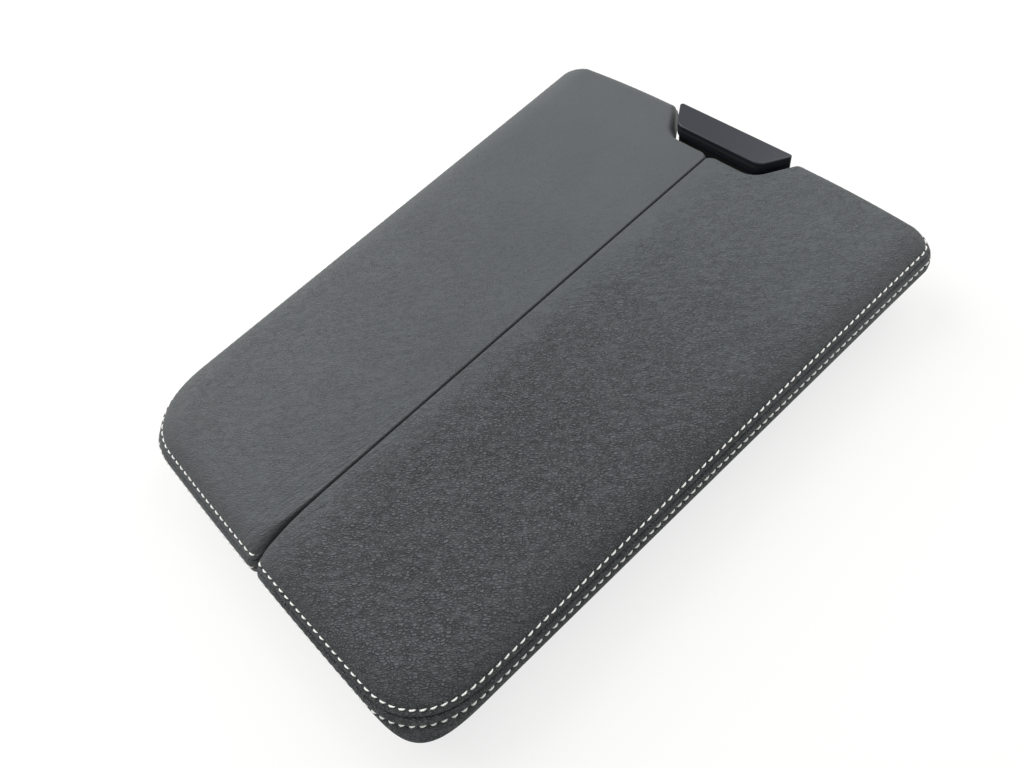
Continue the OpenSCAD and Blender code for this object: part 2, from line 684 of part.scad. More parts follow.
// Spring between the bay's floor and the rocker's tail
latch_coil_r = 2.8;
latch_wire_r = 0.5;
latch_turns = 5;
spring_y = latch_y + barrel_r + 1 + latch_coil_r + latch_wire_r;
tail_low = latch_z + 2.2;
module latch_spring() color(steel) {
    steps = latch_turns * 12;
    z0 = bay_floor + latch_wire_r + 0.05;
    z1 = tail_low - latch_wire_r - 0.2;
    coil = [for (i = [0:steps]) let (a = 360 * i / 12)
        [latch_coil_r * cos(a), spring_y + latch_coil_r * sin(a), z0 + (z1 - z0) * i / steps]];
    wire(coil, latch_wire_r, [0, 0, 1]);
}

pin_half_l = button_w_rear + (pivot_y - button_rear) * button_slope - tower_inset * button_slant - 0.6;
module button_pin() color(steel) rod_x(pivot_y, pivot_z, button_pin_r, -pin_half_l, pin_half_l);

// Rocker: a barrel on the latch pin, two hooks over the strikers and a tail under the button's foot
hook_z = striker_z + striker_r + 0.3;
tail_y = spring_y + latch_coil_r + latch_wire_r + 0.9;
tail_top = foot_z - 0.45;
module hook_area() {
    tip_y = striker_y + striker_r - hook_bite;
    polygon([[latch_y - 3.6, latch_z], [latch_y + 2, latch_z], [latch_y + 0.6, hook_z + 1],
        [latch_y - 1.2, hook_z + 3], [latch_y - 3, hook_z + 3], [tip_y, hook_z + 0.8], [tip_y, hook_z],
        [striker_y + striker_r + 0.5, hook_z], [latch_y - 4.6, latch_z + 3]]);
}

module latch_rocker() color(nylon) difference() {
    union() {
        rod_x(latch_y, latch_z, barrel_r, -bay_half_w + 2, bay_half_w - 2);
        for (s = [-1, 1]) along_x(s * striker_x - hook_w / 2, s * striker_x + hook_w / 2) hook_area();
        along_x(-5, 5) polygon([[latch_y, latch_z - 2], [latch_y + 2, tail_low], [tail_y, tail_low],
            [tail_y, tail_top], [foot_y - 1, tail_top], [latch_y, latch_z + barrel_r]]);
    }
    rod_x(latch_y, latch_z, latch_pin_r + run_gap, -bay_half_w, bay_half_w);
}

// Button: a body on the pin, with a foot that pushes the rocker's tail, and the plate that is seen
body_inset = tower_inset + tower_t + 1.6;
body_top = button_top - button_t - 0.05;
body_low = pivot_z - 4;
module button_body() color(plastic) difference() {
    union() {
        translate([0, 0, body_low]) linear_extrude(body_top - body_low) button_area(-body_inset);
        translate([0, 0, body_top - 1.6]) linear_extrude(1.6) button_area(-1);
        along_x(-6, 6) polygon([[foot_y + 6, body_low + 3], [foot_y + 6, foot_z + 2.6], [foot_y, foot_z + 2.6],
            [foot_y, foot_z], [foot_y + 8.6, foot_z], [foot_y + 8.6, body_low + 3]]);
    }
    for (s = [-1, 1]) translate([s * 16 - 7, button_rear + body_inset + 1.5, body_low - 1])
        cube([14, button_len - 2 * body_inset - 2.5, body_top - body_low - 1]);
    rod_x(pivot_y, pivot_z, button_pin_r + run_gap, -nose_half_w, nose_half_w);
}

module button_plate() color([0.17, 0.17, 0.18]) {
    translate([0, 0, button_top - button_t]) linear_extrude(button_t - button_bevel) button_area(0);
    translate([0, 0, button_top - button_bevel])
        linear_extrude(button_bevel, scale = 1 - button_bevel / button_w_front) button_area(-0.01);
}

// Lid pieces, drawn for the right lid
arm_screw_r = 1.75;
arm_head_r = 3.3;
module arm_shape(y) {
    difference() {
        union() {
            along_y(y - knuckle_w / 2, y + knuckle_w / 2) {
                translate([hinge_x, hinge_z]) circle(knuckle_r);
                polygon([[hinge_x - arm_len, arm_z], [hinge_x, arm_z], [hinge_x, hinge_z + knuckle_r],
                    [hinge_x - 4, hinge_z + knuckle_r - 0.8], [hinge_x - 7, arm_top],
                    [hinge_x - arm_len, arm_top]]);
            }
            along_y(y, y + side_bay_w + 4) polygon([[hinge_x - arm_len, arm_z], [hinge_x - 14, arm_z],
                [hinge_x - 14, arm_top], [hinge_x - arm_len, arm_top]]);
        }
        rod_y(hinge_x, hinge_z, bush_r + slack, y - knuckle_w, y + knuckle_w);
        arm_screw_places(y) translate([0, 0, -0.01]) screw_hole(arm_screw_r, arm_head_r, 10);
    }
}

module arm_screw_places(y) {
    for (p = [[-arm_len + 6, 0], [-arm_len + 16, 9]]) translate([hinge_x + p[0], y + p[1], arm_z]) children();
}

module front_arm_shape() {
    difference() {
        arm_shape(front_hinge_y);
        translate([hinge_x - 1.3, front_hinge_y + knuckle_w / 2 - 1.7, hinge_z - knuckle_r - 1])
            cube([2.6, 3, 2.5]);
    }
}

module arm_screws_shape() {
    for (y = stations) arm_screw_places(y) screw(arm_screw_r, arm_head_r, carrier_top - arm_z - 0.1);
    striker_screw_places() screw(striker_screw_r, striker_head_r, carrier_top - striker_plate_z - 0.1);
}

module bushes_shape() {
    for (y = stations) difference() {
        rod_y(hinge_x, hinge_z, bush_r, y - knuckle_w / 2, y + knuckle_w / 2);
        rod_y(hinge_x, hinge_z, pin_r + run_gap, y - knuckle_w, y + knuckle_w);
    }
}

striker_plate_z = carrier_z - 2.2;
striker_screw_r = 1.4;
striker_head_r = 2.5;
module striker_screw_places() {
    for (s = [-1, 1]) translate([striker_x + s * 4, striker_y - 7, striker_plate_z]) children();
}

module striker_shape() {
    difference() {
        translate([0, 0, striker_plate_z]) linear_extrude(2)
            plate_area(striker_x - 7.5, striker_x + 7.5, striker_y - 10.5, striker_y + 3.5, 2.5);
        striker_screw_places() translate([0, 0, -0.01]) screw_hole(striker_screw_r, striker_head_r, 4);
    }
    for (s = [-1, 1]) {
        translate([striker_x + s * striker_half_w, striker_y, striker_z]) {
            cylinder(h = striker_plate_z - striker_z + 1, r = striker_r);
            sphere(striker_r);
        }
    }
    rod_x(striker_y, striker_z, striker_r, striker_x - striker_half_w, striker_x + striker_half_w);
}

liner_screw_r = 1.5;
liner_head_r = 2.9;
// Three screws along the split, and three near the side, clear of the arms
liner_in_split = 20;
liner_in_rear = 28.5;
liner_in_striker = 27.5;
liner_in_side = 33.5;
liner_in_hinge = 10;
liner_in_front = 27;
liner_mid_y = -20;
liner_screw_spots = [
    [liner_in_split, rear_y + liner_in_rear], [liner_in_split, liner_mid_y],
    [liner_in_split, striker_y - liner_in_striker], [half_w_rear - liner_in_side, rear_y + liner_in_rear],
    [hinge_x - liner_in_hinge, liner_mid_y], [hinge_x - liner_in_hinge, front_y - liner_in_front]];
module liner_screw_places() {
    for (p = liner_screw_spots) translate([p[0], p[1], liner_z]) children();
}

module hinge_pocket(x0, x1, z0, z1, d = 0) {
    for (y = stations) translate([x0, y - hinge_half_a - d, z0])
        cube([x1 - x0, hinge_half_a + hinge_half_b + 2 * d, z1 - z0]);
}

carrier_in = leather_t + 1.8;
carrier_low = skirt_z + leather_t + 0.5;
module carrier_ribs() {
    intersection() {
        translate([0, 0, liner_top + 0.2]) linear_extrude(carrier_z - liner_top) lid_area(carrier_in + 1);
        union() {
            for (x = [38 : rib_pitch : half_w_front])
                translate([x, rear_y, 0]) cube([rib_t, lid_len, carrier_top]);
            for (y = [-rib_pitch * 4 : rib_pitch : front_y])
                translate([0, y, 0]) cube([half_w_front, rib_t, carrier_top]);
        }
    }
}

module carrier_shape() {
    difference() {
        union() {
            translate([0, 0, carrier_z]) linear_extrude(carrier_t) lid_area(carrier_in);
            translate([0, 0, carrier_low]) linear_extrude(carrier_z - carrier_low + 1) difference() {
                lid_area(carrier_in);
                lid_area(carrier_in + 2.4);
            }
            carrier_ribs();
            liner_screw_places() translate([0, 0, liner_t + 0.2]) cylinder(h = carrier_z - liner_top, r = 4);
        }
        // Room for the arms, the lugs and the striker plate
        for (y = stations) translate([hinge_x - arm_len - 1, y - knuckle_w / 2 - 1, carrier_low - 2])
            cube([arm_len, side_bay_w + knuckle_w / 2 + 6, carrier_z - carrier_low + 2]);
        hinge_pocket(hinge_x - 9, hinge_x + 6.5, carrier_low - 2, carrier_top + 1);
        translate([striker_x - 8.5, striker_y - 11.5, carrier_low - 2])
            cube([17, 16, carrier_z - carrier_low + 2]);
        liner_screw_places() translate([0, 0, liner_t]) cylinder(h = 5.8, r = liner_screw_r + slack);
        for (y = stations) arm_screw_places(y) cylinder(h = 12, r = arm_screw_r + slack);
        striker_screw_places() cylinder(h = 12, r = striker_screw_r + slack);
    }
}

panel_in = 28;
panel_rear = 39.5;
panel_front = 38.5;
module liner_shape() {
    difference() {
        translate([0, 0, liner_z]) linear_extrude(liner_t) lid_area(hem_w + 0.5);
        translate([0, 0, liner_z - 1]) linear_extrude(1 + liner_panel_d)
            plate_area(panel_in, hinge_x - panel_in, rear_y + panel_rear, striker_y - panel_front, 8);
        hinge_pocket(hinge_x - 18.5, hinge_x + 40, liner_z - 1, liner_top + 1, 0.5);
        translate([striker_x, striker_y, liner_z - 1]) linear_extrude(liner_t + 2)
            plate_area(-striker_half_w - 2.4, striker_half_w + 2.4, -2.4, 2.4, 1.5);
        liner_screw_places() screw_hole(liner_screw_r, liner_head_r, 10);
    }
}

module liner_screws_shape() {
    liner_screw_places() screw(liner_screw_r, liner_head_r, liner_t + 5);
}

module left() {
    mirror([1, 0, 0]) children();
}

module right_hinge_pins() color(steel) hinge_pins();
module left_hinge_pins() color(steel) left() hinge_pins();
module right_lid_spring() color(steel) lid_spring_shape();
module left_lid_spring() color(steel) left() lid_spring_shape();
module right_damper_body() color(plastic) damper_body_shape();
module left_damper_body() color(plastic) left() damper_body_shape();
module right_cover() color(leather) cover_shape();
module left_cover() color(leather) left() cover_shape();
module right_foam() color(foam_cream) foam_shape();
module left_foam() color(foam_cream) left() foam_shape();
module right_carrier() color(plastic) carrier_shape();
module left_carrier() color(plastic) left() carrier_shape();
module right_liner() color(liner_grey) liner_shape();
module left_liner() color(liner_grey) left() liner_shape();
module right_liner_screws() color(steel) liner_screws_shape();
module left_liner_screws() color(steel) left() liner_screws_shape();
module right_rear_arm() color(steel) arm_shape(rear_hinge_y);
module left_rear_arm() color(steel) left() arm_shape(rear_hinge_y);
module right_front_arm() color(steel) front_arm_shape();
module left_front_arm() color(steel) left() front_arm_shape();
module right_arm_screws() color(steel) arm_screws_shape();
module left_arm_screws() color(steel) left() arm_screws_shape();
module right_hinge_bushes() color(nylon) bushes_shape();
module left_hinge_bushes() color(nylon) left() bushes_shape();
module right_damper_rotor() color(nylon) damper_rotor_shape();
module left_damper_rotor() color(nylon) left() damper_rotor_shape();
module right_striker() color(steel) striker_shape();
module left_striker() color(steel) left() striker_shape();

base_frame();
latch_cover();
latch_cover_screws();
deck_bumpers();
right_hinge_pins();
left_hinge_pins();
right_lid_spring();
left_lid_spring();
right_damper_body();
left_damper_body();
latch_pin();
latch_spring();
button_pin();
latch_rocker();
button_body();
button_plate();
right_cover();
right_foam();
right_carrier();
right_liner();
right_liner_screws();
right_rear_arm();
right_front_arm();
right_arm_screws();
right_hinge_bushes();
right_damper_rotor();
right_striker();
left_cover();
left_foam();
left_carrier();
left_liner();
left_liner_screws();
left_rear_arm();
left_front_arm();
left_arm_screws();
left_hinge_bushes();
left_damper_rotor();
left_striker();
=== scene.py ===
"""Split console armrest: the look of its lids, stitching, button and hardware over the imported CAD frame."""

import json
import math

import bpy
import numpy as np
from mathutils import Matrix, Vector


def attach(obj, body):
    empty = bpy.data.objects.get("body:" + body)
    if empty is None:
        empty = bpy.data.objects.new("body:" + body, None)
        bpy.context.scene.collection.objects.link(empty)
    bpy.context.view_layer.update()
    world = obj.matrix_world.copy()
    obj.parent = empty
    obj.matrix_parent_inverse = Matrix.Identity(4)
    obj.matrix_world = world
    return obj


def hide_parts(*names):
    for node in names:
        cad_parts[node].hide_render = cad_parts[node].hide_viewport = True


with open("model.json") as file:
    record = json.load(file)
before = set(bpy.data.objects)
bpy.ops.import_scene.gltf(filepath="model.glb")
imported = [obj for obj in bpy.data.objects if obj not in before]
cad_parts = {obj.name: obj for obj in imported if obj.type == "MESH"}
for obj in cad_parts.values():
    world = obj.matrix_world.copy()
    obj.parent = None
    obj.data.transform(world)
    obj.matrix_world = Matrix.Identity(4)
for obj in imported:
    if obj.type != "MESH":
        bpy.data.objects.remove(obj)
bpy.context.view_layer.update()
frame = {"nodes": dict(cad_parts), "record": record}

bl_info = {
    "name": "Split console armrest",
    "version": (1, 0, 0),
    "blender": (4, 5, 0),
    "location": "3D View > Sidebar > Armrest",
    "description": "Dresses a split console armrest with leather, stitching and finishes",
    "category": "Object",
}

MM = 0.001

# Lid outline in millimetres; SPLIT is half the gap between the lids
LID_LENGTH = 359.0
REAR_Y = -LID_LENGTH / 2
FRONT_Y = LID_LENGTH / 2
HALF_REAR = 117.5
HALF_FRONT = 129.8
SPLIT = 0.2
REAR_BOW = 2.4
FRONT_BOW = 5.0
BOW_FADE = 60.0
FRONT_CORNER_R = 11.0
LIP_R = 5.0

# Corners at the split's rear end and at the outer rear: reach across, reach along, and superellipse's power
NOSE = (5.0, 9.0, 2.2)
CORNER = (37.0, 43.0, 2.4)
LOW_CORNER_POWER = 4.2

# Lid section in millimetres: heights of the lower edge, the two stitch rows and the crown above the upper row
SKIRT_Z = 25.0
LOW_ROW_Z = 32.6
STITCH_Z = 40.0
CROWN = 6.7
DOME = 0.8
DOME_HALF = (64.0, 180.0)
LEATHER = 1.4
HEM = 7.0

# Leather's length from the lower row up to the upper row and to the seam
WALL = 9.5
SEAM = 5.4

# How far the wall leans in, and swells out below, at the split, the outer side, the rear and the front
LEAN = np.array([0.0, 2.8, 4.4, 2.5])
SWELL = np.array([0.0, 0.9, 0.4, 0.0])
LEAN_POWER = 1.1

# Widths of the rolls from the wall to the crown, and the powers of their curve
ROLL_SIDE, ROLL_REAR, ROLL_FRONT, ROLL_SPLIT, ROLL_RECESS = 22.0, 15.0, 9.0, 0.7, 5.0
FLARE = 9.0
ROLL_POWER = 2.3
ROLL_RISE = 0.75

# Past this inset the rings of the top close faster along the armrest than across it
CLOSE_FROM = 24.0
CLOSE_RATE = 2.863

# Rings of the lid: insets under the hem, steps round the lower edge, leather lengths up the wall from the
# lower row, insets of the top, and insets of the inner skin's top
UNDER_INSETS = (HEM, 4.6, 2.6)
EDGE_STEPS = 6
EDGE_HEIGHT = 3.0
LOW_STEPS = [-3.1, -2.3, -1.6, -1.1, -0.7, -0.35, 0.0, 0.35, 0.7, 1.1, 1.7, 2.5, 3.3, 4.0, 4.5, 4.9, 5.1,
             5.28, 5.4, 5.52, 5.7, 6.0, 6.5, 7.1, 7.8, 8.4, 8.8, 9.15, 9.5]
TOP_STEPS = [0.3, 0.6, 0.9, 1.25, 1.7, 2.3, 3.1, 4.1, 5.3, 6.7, 8.3, 10.2, 12.4, 15, 18, 21.5, 26, 32, 39, 47,
             54, 60]
INNER_STEPS = (60, 40, 24, 12, 6, 3, 1)
BELOW_WALL = len(UNDER_INSETS) + EDGE_STEPS
ROW_LOW = BELOW_WALL + LOW_STEPS.index(0.0)
ROW_HIGH = BELOW_WALL + LOW_STEPS.index(WALL)

# Relief of the sewn leather in millimetres: height and width of each form, and the welt's drop from the seam.
# The needle holes' spread is the square of a share of the pitch
LOW_TROUGH = (0.55, 0.8)
HIGH_TROUGH = (0.5, 0.75)
SEAM_CREASE = (0.5, 0.28)
SEAM_WELT = (0.35, 0.3)
WELT_DROP = 0.75
LOW_PULL = (0.16, 2.2)
HIGH_PULL = (0.12, 2.6)
HOLE_SPREAD = 0.018
SEWING_FADE = 8.0

# Ripples of the top in millimetres: height, where they start above the upper row, and how far on they are full
RIPPLE = 0.42
RIPPLE_START = 2.0
RIPPLE_FADE = 12.0

# Points of the outline where the sewing starts, past the split's rear end, and ends, past the front edge
SEWN_FROM = 34
SEWN_PAST = 4

# Stitches: the hole as a share of the pitch, and their bow above and sink into the leather in millimetres
HOLE_SHARE = 0.11
STITCH_BOW = 0.42
STITCH_SINK = 0.26
LOW_ROW = {"width": 1.1, "slant": 0.2, "hook": 0.7, "rise": 0.2}
HIGH_ROW = {"width": 0.82, "slant": 0.55, "hook": 0.0, "rise": 0.15}

# Button plate in millimetres
BUTTON_FRONT = FRONT_Y - 4.8
BUTTON_LENGTH = 17.0
BUTTON_REAR = BUTTON_FRONT - BUTTON_LENGTH
BUTTON_HALF_FRONT = 40.3
BUTTON_HALF_REAR = 29.0
BUTTON_TOP = STITCH_Z + 9.5
BUTTON_T = 3.0
BUTTON_SKIRT = 8.5
BUTTON_CORNER_R = 8.0
BUTTON_TIP_R = 1.6
BUTTON_BEVEL_END = -1.4
BUTTON_CLOSE = 9.0
BUTTON_SLOPE = (BUTTON_HALF_FRONT - BUTTON_HALF_REAR) / BUTTON_LENGTH
RECESS_GAP = 2.7
RECESS_SIDE = 1.4
RECESS_R = 15.0

# Floor in millimetres; its shadows fade into plain white between two distances from the armrest
FLOOR_HALF = 3000.0
FLOOR_Z = -0.3
FLOOR_FADE = (350.0, 1100.0)
FLOOR_GLOW = 0.76

# Soft lights: place and size in metres, and the point they are aimed at
LAMPS = {
    "key": ((-1.2, -0.2, 1.2), 1.5),
    "top": ((0.1, 1.05, 1.25), 1.2),
    "side": ((1.1, -0.7, 0.5), 0.8),
}
LAMP_AIM = (0, 0, 0.03)

# Camera fitted to the photograph: place in metres, right, up and back axes, lens and sensor in millimetres
CAMERA_PLACE = (0.21993, -0.14921, 0.37640)
CAMERA_RIGHT = (0.68666, 0.71100, -0.15160)
CAMERA_UP = (-0.54157, 0.63940, 0.54577)
CAMERA_BACK = (0.48498, -0.29265, 0.82411)
CAMERA_LENS = 28.727
CAMERA_SENSOR = 36.0
CAMERA_CLIP = (0.01, 20.0)


class LeatherLook(bpy.types.PropertyGroup):
    """Leather, thread and seams of the lids."""

    leather: bpy.props.FloatVectorProperty(
        name="Leather", description="Colour of the leather", size=3, min=0, max=1, subtype="COLOR",
        default=(0.061, 0.066, 0.069))
    thread: bpy.props.FloatVectorProperty(
        name="Thread", description="Colour of the stitches", size=3, min=0, max=1, subtype="COLOR",
        default=(0.97, 0.965, 0.93))
    grain_size: bpy.props.FloatProperty(
        name="Grain size", description="Width of one pebble of the grain", unit="LENGTH", default=0.00098,
        min=0.0006, max=0.004)
    grain_depth: bpy.props.FloatProperty(
        name="Grain depth", description="Height of the grain", unit="LENGTH", default=0.0007,
        min=0, max=0.001)
    pitch: bpy.props.FloatProperty(
        name="Stitch pitch", description="Length of one stitch with its gap", unit="LENGTH", default=0.00455,
        min=0.003, max=0.007)
    thread_width: bpy.props.FloatProperty(
        name="Thread width", description="Thickness of the thread", unit="LENGTH", default=0.00105,
        min=0.0005, max=0.0015)
    puff: bpy.props.FloatProperty(
        name="Puff", description="How far the leather swells between the rows", unit="LENGTH", default=0.0006,
        min=0, max=0.0015)


class HardwareLook(bpy.types.PropertyGroup):
    """Plastic and metal pieces."""

    plastic: bpy.props.FloatVectorProperty(
        name="Plastic", description="Colour of the frame's plastic", size=3, min=0, max=1, subtype="COLOR",
        default=(0.013, 0.013, 0.014))
    liner: bpy.props.FloatVectorProperty(
        name="Liner", description="Colour of the lids' liners", size=3, min=0, max=1, subtype="COLOR",
        default=(0.024, 0.024, 0.026))
    button: bpy.props.FloatVectorProperty(
        name="Button", description="Colour of the button plate", size=3, min=0, max=1, subtype="COLOR",
        default=(0.015, 0.016, 0.022))
    steel: bpy.props.FloatVectorProperty(
        name="Steel", description="Colour of the zinc-plated steel", size=3, min=0, max=1, subtype="COLOR",
        default=(0.55, 0.54, 0.5))
    nylon: bpy.props.FloatVectorProperty(
        name="Nylon", description="Colour of the bushes and the rocker", size=3, min=0, max=1,
        subtype="COLOR", default=(0.62, 0.59, 0.5))


class StageLook(bpy.types.PropertyGroup):
    """Floor and light."""

    floor: bpy.props.FloatVectorProperty(
        name="Floor", description="Colour of the floor", size=3, min=0, max=1, subtype="COLOR",
        default=(0.78, 0.77, 0.745))
    key_power: bpy.props.FloatProperty(
        name="Key light", description="Power of the large soft light", unit="POWER", default=40.0,
        min=0, max=100)
    top_power: bpy.props.FloatProperty(
        name="Top light", description="Power of the soft light beyond the front end", unit="POWER",
        default=20.0, min=0, max=100)
    side_power: bpy.props.FloatProperty(
        name="Side light", description="Power of the low light on the right", unit="POWER", default=4.0,
        min=0, max=100)
    sky: bpy.props.FloatProperty(
        name="Sky light", description="Strength of the light from all round", default=0.16, min=0, max=2)


# Shader building

class Socket:
    """A node's output. Arithmetic on it adds Math nodes."""

    def __init__(self, nodes, output):
        self.nodes = nodes
        self.output = output

    def maths(self, operation, other=0.0):
        return self.nodes.node("ShaderNodeMath", {"operation": operation}, {0: self, 1: other})

    def __add__(self, other):
        return self.maths("ADD", other)

    def __sub__(self, other):
        return self.maths("SUBTRACT", other)

    def __mul__(self, other):
        return self.maths("MULTIPLY", other)

    def __abs__(self):
        return self.maths("ABSOLUTE")

    __radd__ = __add__


class Nodes:
    """A node tree that is filled one call at a time."""

    def __init__(self, tree):
        self.tree = tree

    def feed(self, node, values):
        """Links or sets a node's inputs; a colour of three parts gets full alpha."""
        for key, value in values.items():
            socket = node.inputs[key]
            if isinstance(value, Socket):
                self.tree.links.new(value.output, socket)
            elif np.size(socket.default_value) == 4 and np.size(value) == 3:
                socket.default_value = (*value, 1.0)
            else:
                socket.default_value = value

    def node(self, kind, settings=None, values=None, output=0):
        """Adds a node: its settings first, then its sockets' values or links."""
        made = self.tree.nodes.new(kind)
        for key, value in (settings or {}).items():
            setattr(made, key, value)
        self.feed(made, values or {})
        return Socket(self, made.outputs[output])

    def place(self, turn=0.0, stretch=(1, 1, 1)):
        """The point on the piece in millimetres, on axes turned about Z in degrees and then stretched."""
        point = self.node("ShaderNodeTexCoord", output="Object")
        return self.node("ShaderNodeMapping", {"vector_type": "TEXTURE"}, {
            "Vector": point, "Rotation": (0, 0, math.radians(turn)), "Scale": tuple(s * MM for s in stretch)})

    def parts(self, vector):
        """A vector's X, Y and Z."""
        return [self.node("ShaderNodeSeparateXYZ", {}, {0: vector}, axis) for axis in range(3)]

    def noise(self, at, scale, detail=2.0, output=0):
        return self.node("ShaderNodeTexNoise", {}, {"Vector": at, "Scale": scale, "Detail": detail}, output)

    def smooth(self, value, low, high, to_low=0.0, to_high=1.0):
        """A smooth step from low to high."""
        return self.node("ShaderNodeMapRange", {"interpolation_type": "SMOOTHSTEP"}, {
            0: value, 1: low, 2: high, 3: to_low, 4: to_high})

    def tint(self, factor, a, b):
        """Colour between a and b."""
        return self.node("ShaderNodeMix", {"data_type": "RGBA"}, {0: factor, 6: a, 7: b}, 2)

    def bump(self, height, distance):
        return self.node("ShaderNodeBump", {}, {"Height": height, "Distance": distance})


class Finish(Nodes):
    """A material with one Principled shader."""

    def __init__(self, name, **values):
        self.material = bpy.data.materials.new(name)
        self.material.use_nodes = True
        super().__init__(self.material.node_tree)
        self.shader = self.tree.nodes["Principled BSDF"]
        self.put(**values)

    def put(self, **values):
        """Sets or links the shader's inputs, named with underscores for spaces, and gives the material."""
        self.feed(self.shader, {key.replace("_", " "): value for key, value in values.items()})
        return self.material


def shaded(colour, share):
    """A colour made darker or lighter by a share, at most white."""
    return tuple(min(1, part * share) for part in colour)


def leather_finish(look):
    """Pebbled leather: long cells with grooves between them, deepest on the right lid's near half, where
    painted shade darkens them, fine pores, and soft creases beside the split's rear end. The right lid's
    colour is painted a little paler, as painted light.
    """
    f = Finish("leather")
    even = f.place()
    x, y, _ = f.parts(even)

    # How worked the grain is: more on the right, towards the rear end and in soft patches
    right = f.smooth(x, -2.0, 30.0, 0.25, 1.0)
    near = f.smooth(y, -60.0, 150.0, 1.1, 0.38)
    patch = f.noise(even, 0.03, 1.0)
    worked = right * near * f.smooth(patch, 0.3, 0.65, 0.92, 1.06)

    # Grooves between the pebbles, which are stretched along a slanted line and pushed about
    push = f.node("ShaderNodeVectorMath", {"operation": "SCALE"}, {
        0: f.noise(even, 0.35, 1.0, "Color"), "Scale": 1.6})
    grain_at = f.node("ShaderNodeVectorMath", {"operation": "ADD"}, {0: f.place(47, (2.3, 1, 1)), 1: push})
    edge = f.node("ShaderNodeTexVoronoi", {"feature": "DISTANCE_TO_EDGE"}, {
        "Vector": grain_at, "Scale": 1 / (look.grain_size / MM)})
    groove = f.smooth(edge, 0.0, 0.24, 1.0, 0.0)
    wander = f.noise(grain_at, 0.45, 2.0)
    lines = groove * worked * f.smooth(wander, 0.32, 0.62, 0.5, 1.0)

    # Creases across the split's rear end
    crease = abs(f.noise(f.place(78, (16, 3.2, 5)), 1.0, 2.5) * 2.0 - 1.0)
    folds = crease * f.smooth(abs(x), 5.0, 36.0, 1.0, 0.0) * f.smooth(y, -125.0, -30.0, 1.0, 0.0)

    pores = f.noise(f.place(47, (1.5, 1, 1)), 1.3, 2.0)
    height = pores * 0.6 * (worked * 0.7 + 0.1) + wander * 0.25 * worked - lines * 1.2 - folds * 1.3
    cloud = f.smooth(f.noise(even, 0.018, 2.0), 0.35, 0.65)
    shade = f.tint(cloud, shaded(look.leather, 0.94), shaded(look.leather, 1.05))
    # Painted light: the right lid's colour is made paler, fully so away from the split
    shade = f.tint(right, shade, shaded(look.leather, 1.18))
    # Painted shade: the grooves are darkened in colour, most where the grain is most worked
    shade = f.tint(lines * 0.46, shade, shaded(look.leather, 0.4))
    return f.put(Base_Color=shade, Roughness=0.52 + lines * 0.25 + pores * 0.08,
                 Specular_IOR_Level=0.2, Normal=f.bump(height, look.grain_depth))


def thread_finish(look):
    """Twisted polyester thread: slanted plies along the stitch's own map."""
    f = Finish("thread", Roughness=0.75)
    u, v, _ = f.parts(f.node("ShaderNodeTexCoord", output="UV"))
    plies = ((u * 5.0 + v * 2.0) * (2 * math.pi)).maths("SINE")
    # Painted shade: the thread's colour darkens between the plies, where the bump is low
    shade = f.tint(plies * 0.5 + 0.5, shaded(look.thread, 0.88), look.thread)
    return f.put(Base_Color=shade, Normal=f.bump(plies, 0.00006))


def plastic_finish(name, colour, roughness, depth=0.00006, scale=1.4):
    """Moulded plastic with a fine spark-eroded grain."""
    f = Finish(name)
    at = f.place()
    grain = f.noise(at, scale, 3.0)
    shade = f.tint(f.noise(at, 0.03, 2.0), shaded(colour, 0.85), shaded(colour, 1.15))
    return f.put(Base_Color=shade, Roughness=roughness + (grain - 0.5) * 0.16, Normal=f.bump(grain, depth))


def metal_finish(name, colour, roughness):
    """Plated steel with cloudy patches."""
    f = Finish(name, Metallic=1.0)
    at = f.place()
    cloud = f.noise(at, 0.5, 3.0)
    shade = f.tint(cloud, shaded(colour, 0.8), colour)
    grain = f.noise(at, 3.0)
    return f.put(Base_Color=shade, Roughness=roughness + (cloud - 0.5) * 0.2, Normal=f.bump(grain, 0.00002))


def button_finish(colour):
    """Satin paint with a faint metallic fleck."""
    f = Finish("button satin", Specular_IOR_Level=0.25)
    at = f.place()
    fleck = f.noise(at, 6.0, 2.0)
    shade = f.tint(f.smooth(fleck, 0.45, 0.7), colour, shaded(colour, 1.5))
    return f.put(Base_Color=shade, Roughness=0.26 + fleck * 0.1, Normal=f.bump(f.noise(at, 1.2), 0.00001))


def foam_finish():
    """Open-cell cushion foam."""
    f = Finish("foam", Roughness=0.95)
    cells = f.node("ShaderNodeTexVoronoi", {}, {"Vector": f.place(), "Scale": 0.9})
    shade = f.tint(cells, (0.62, 0.55, 0.38), (0.4, 0.34, 0.22))
    return f.put(Base_Color=shade, Normal=f.bump(cells, 0.0003))


def seen_ray(f):
    """1 where the camera, a mirror or glass looks, and 0 for light that falls on things."""
    camera, mirror, glass = (f.node("ShaderNodeLightPath", output=name)
                             for name in ("Is Camera Ray", "Is Glossy Ray", "Is Transmission Ray"))
    return (camera + mirror + glass).maths("MINIMUM", 1.0)


def floor_finish(colour):
    """Paint that takes the shadow, mixed with plain white for what looks at it, and all white far off."""
    f = Finish("floor", Roughness=0.9, Base_Color=colour, Specular_IOR_Level=0.2)
    away = f.node("ShaderNodeVectorMath", {"operation": "LENGTH"}, {0: f.place()}, "Value")
    glow = f.node("ShaderNodeEmission", {}, {"Color": (1, 1, 1)})
    white = seen_ray(f) * f.smooth(away, *FLOOR_FADE, FLOOR_GLOW, 1.0)
    shown = f.node("ShaderNodeMixShader", {}, {0: white, 1: Socket(f, f.shader.outputs[0]), 2: glow})
    f.feed(f.tree.nodes["Material Output"], {"Surface": shown})
    return f.material


def sky_light(strength):
    """Even white light from all round, shown as plain white to what looks at it."""
    world = bpy.data.worlds.new("studio")
    world.use_nodes = True
    bpy.context.scene.world = world
    f = Nodes(world.node_tree)
    shown = seen_ray(f) * (1 - strength) + strength
    f.feed(f.tree.nodes["Background"], {"Color": (1.0, 1.0, 1.0), "Strength": shown})


# Mesh building

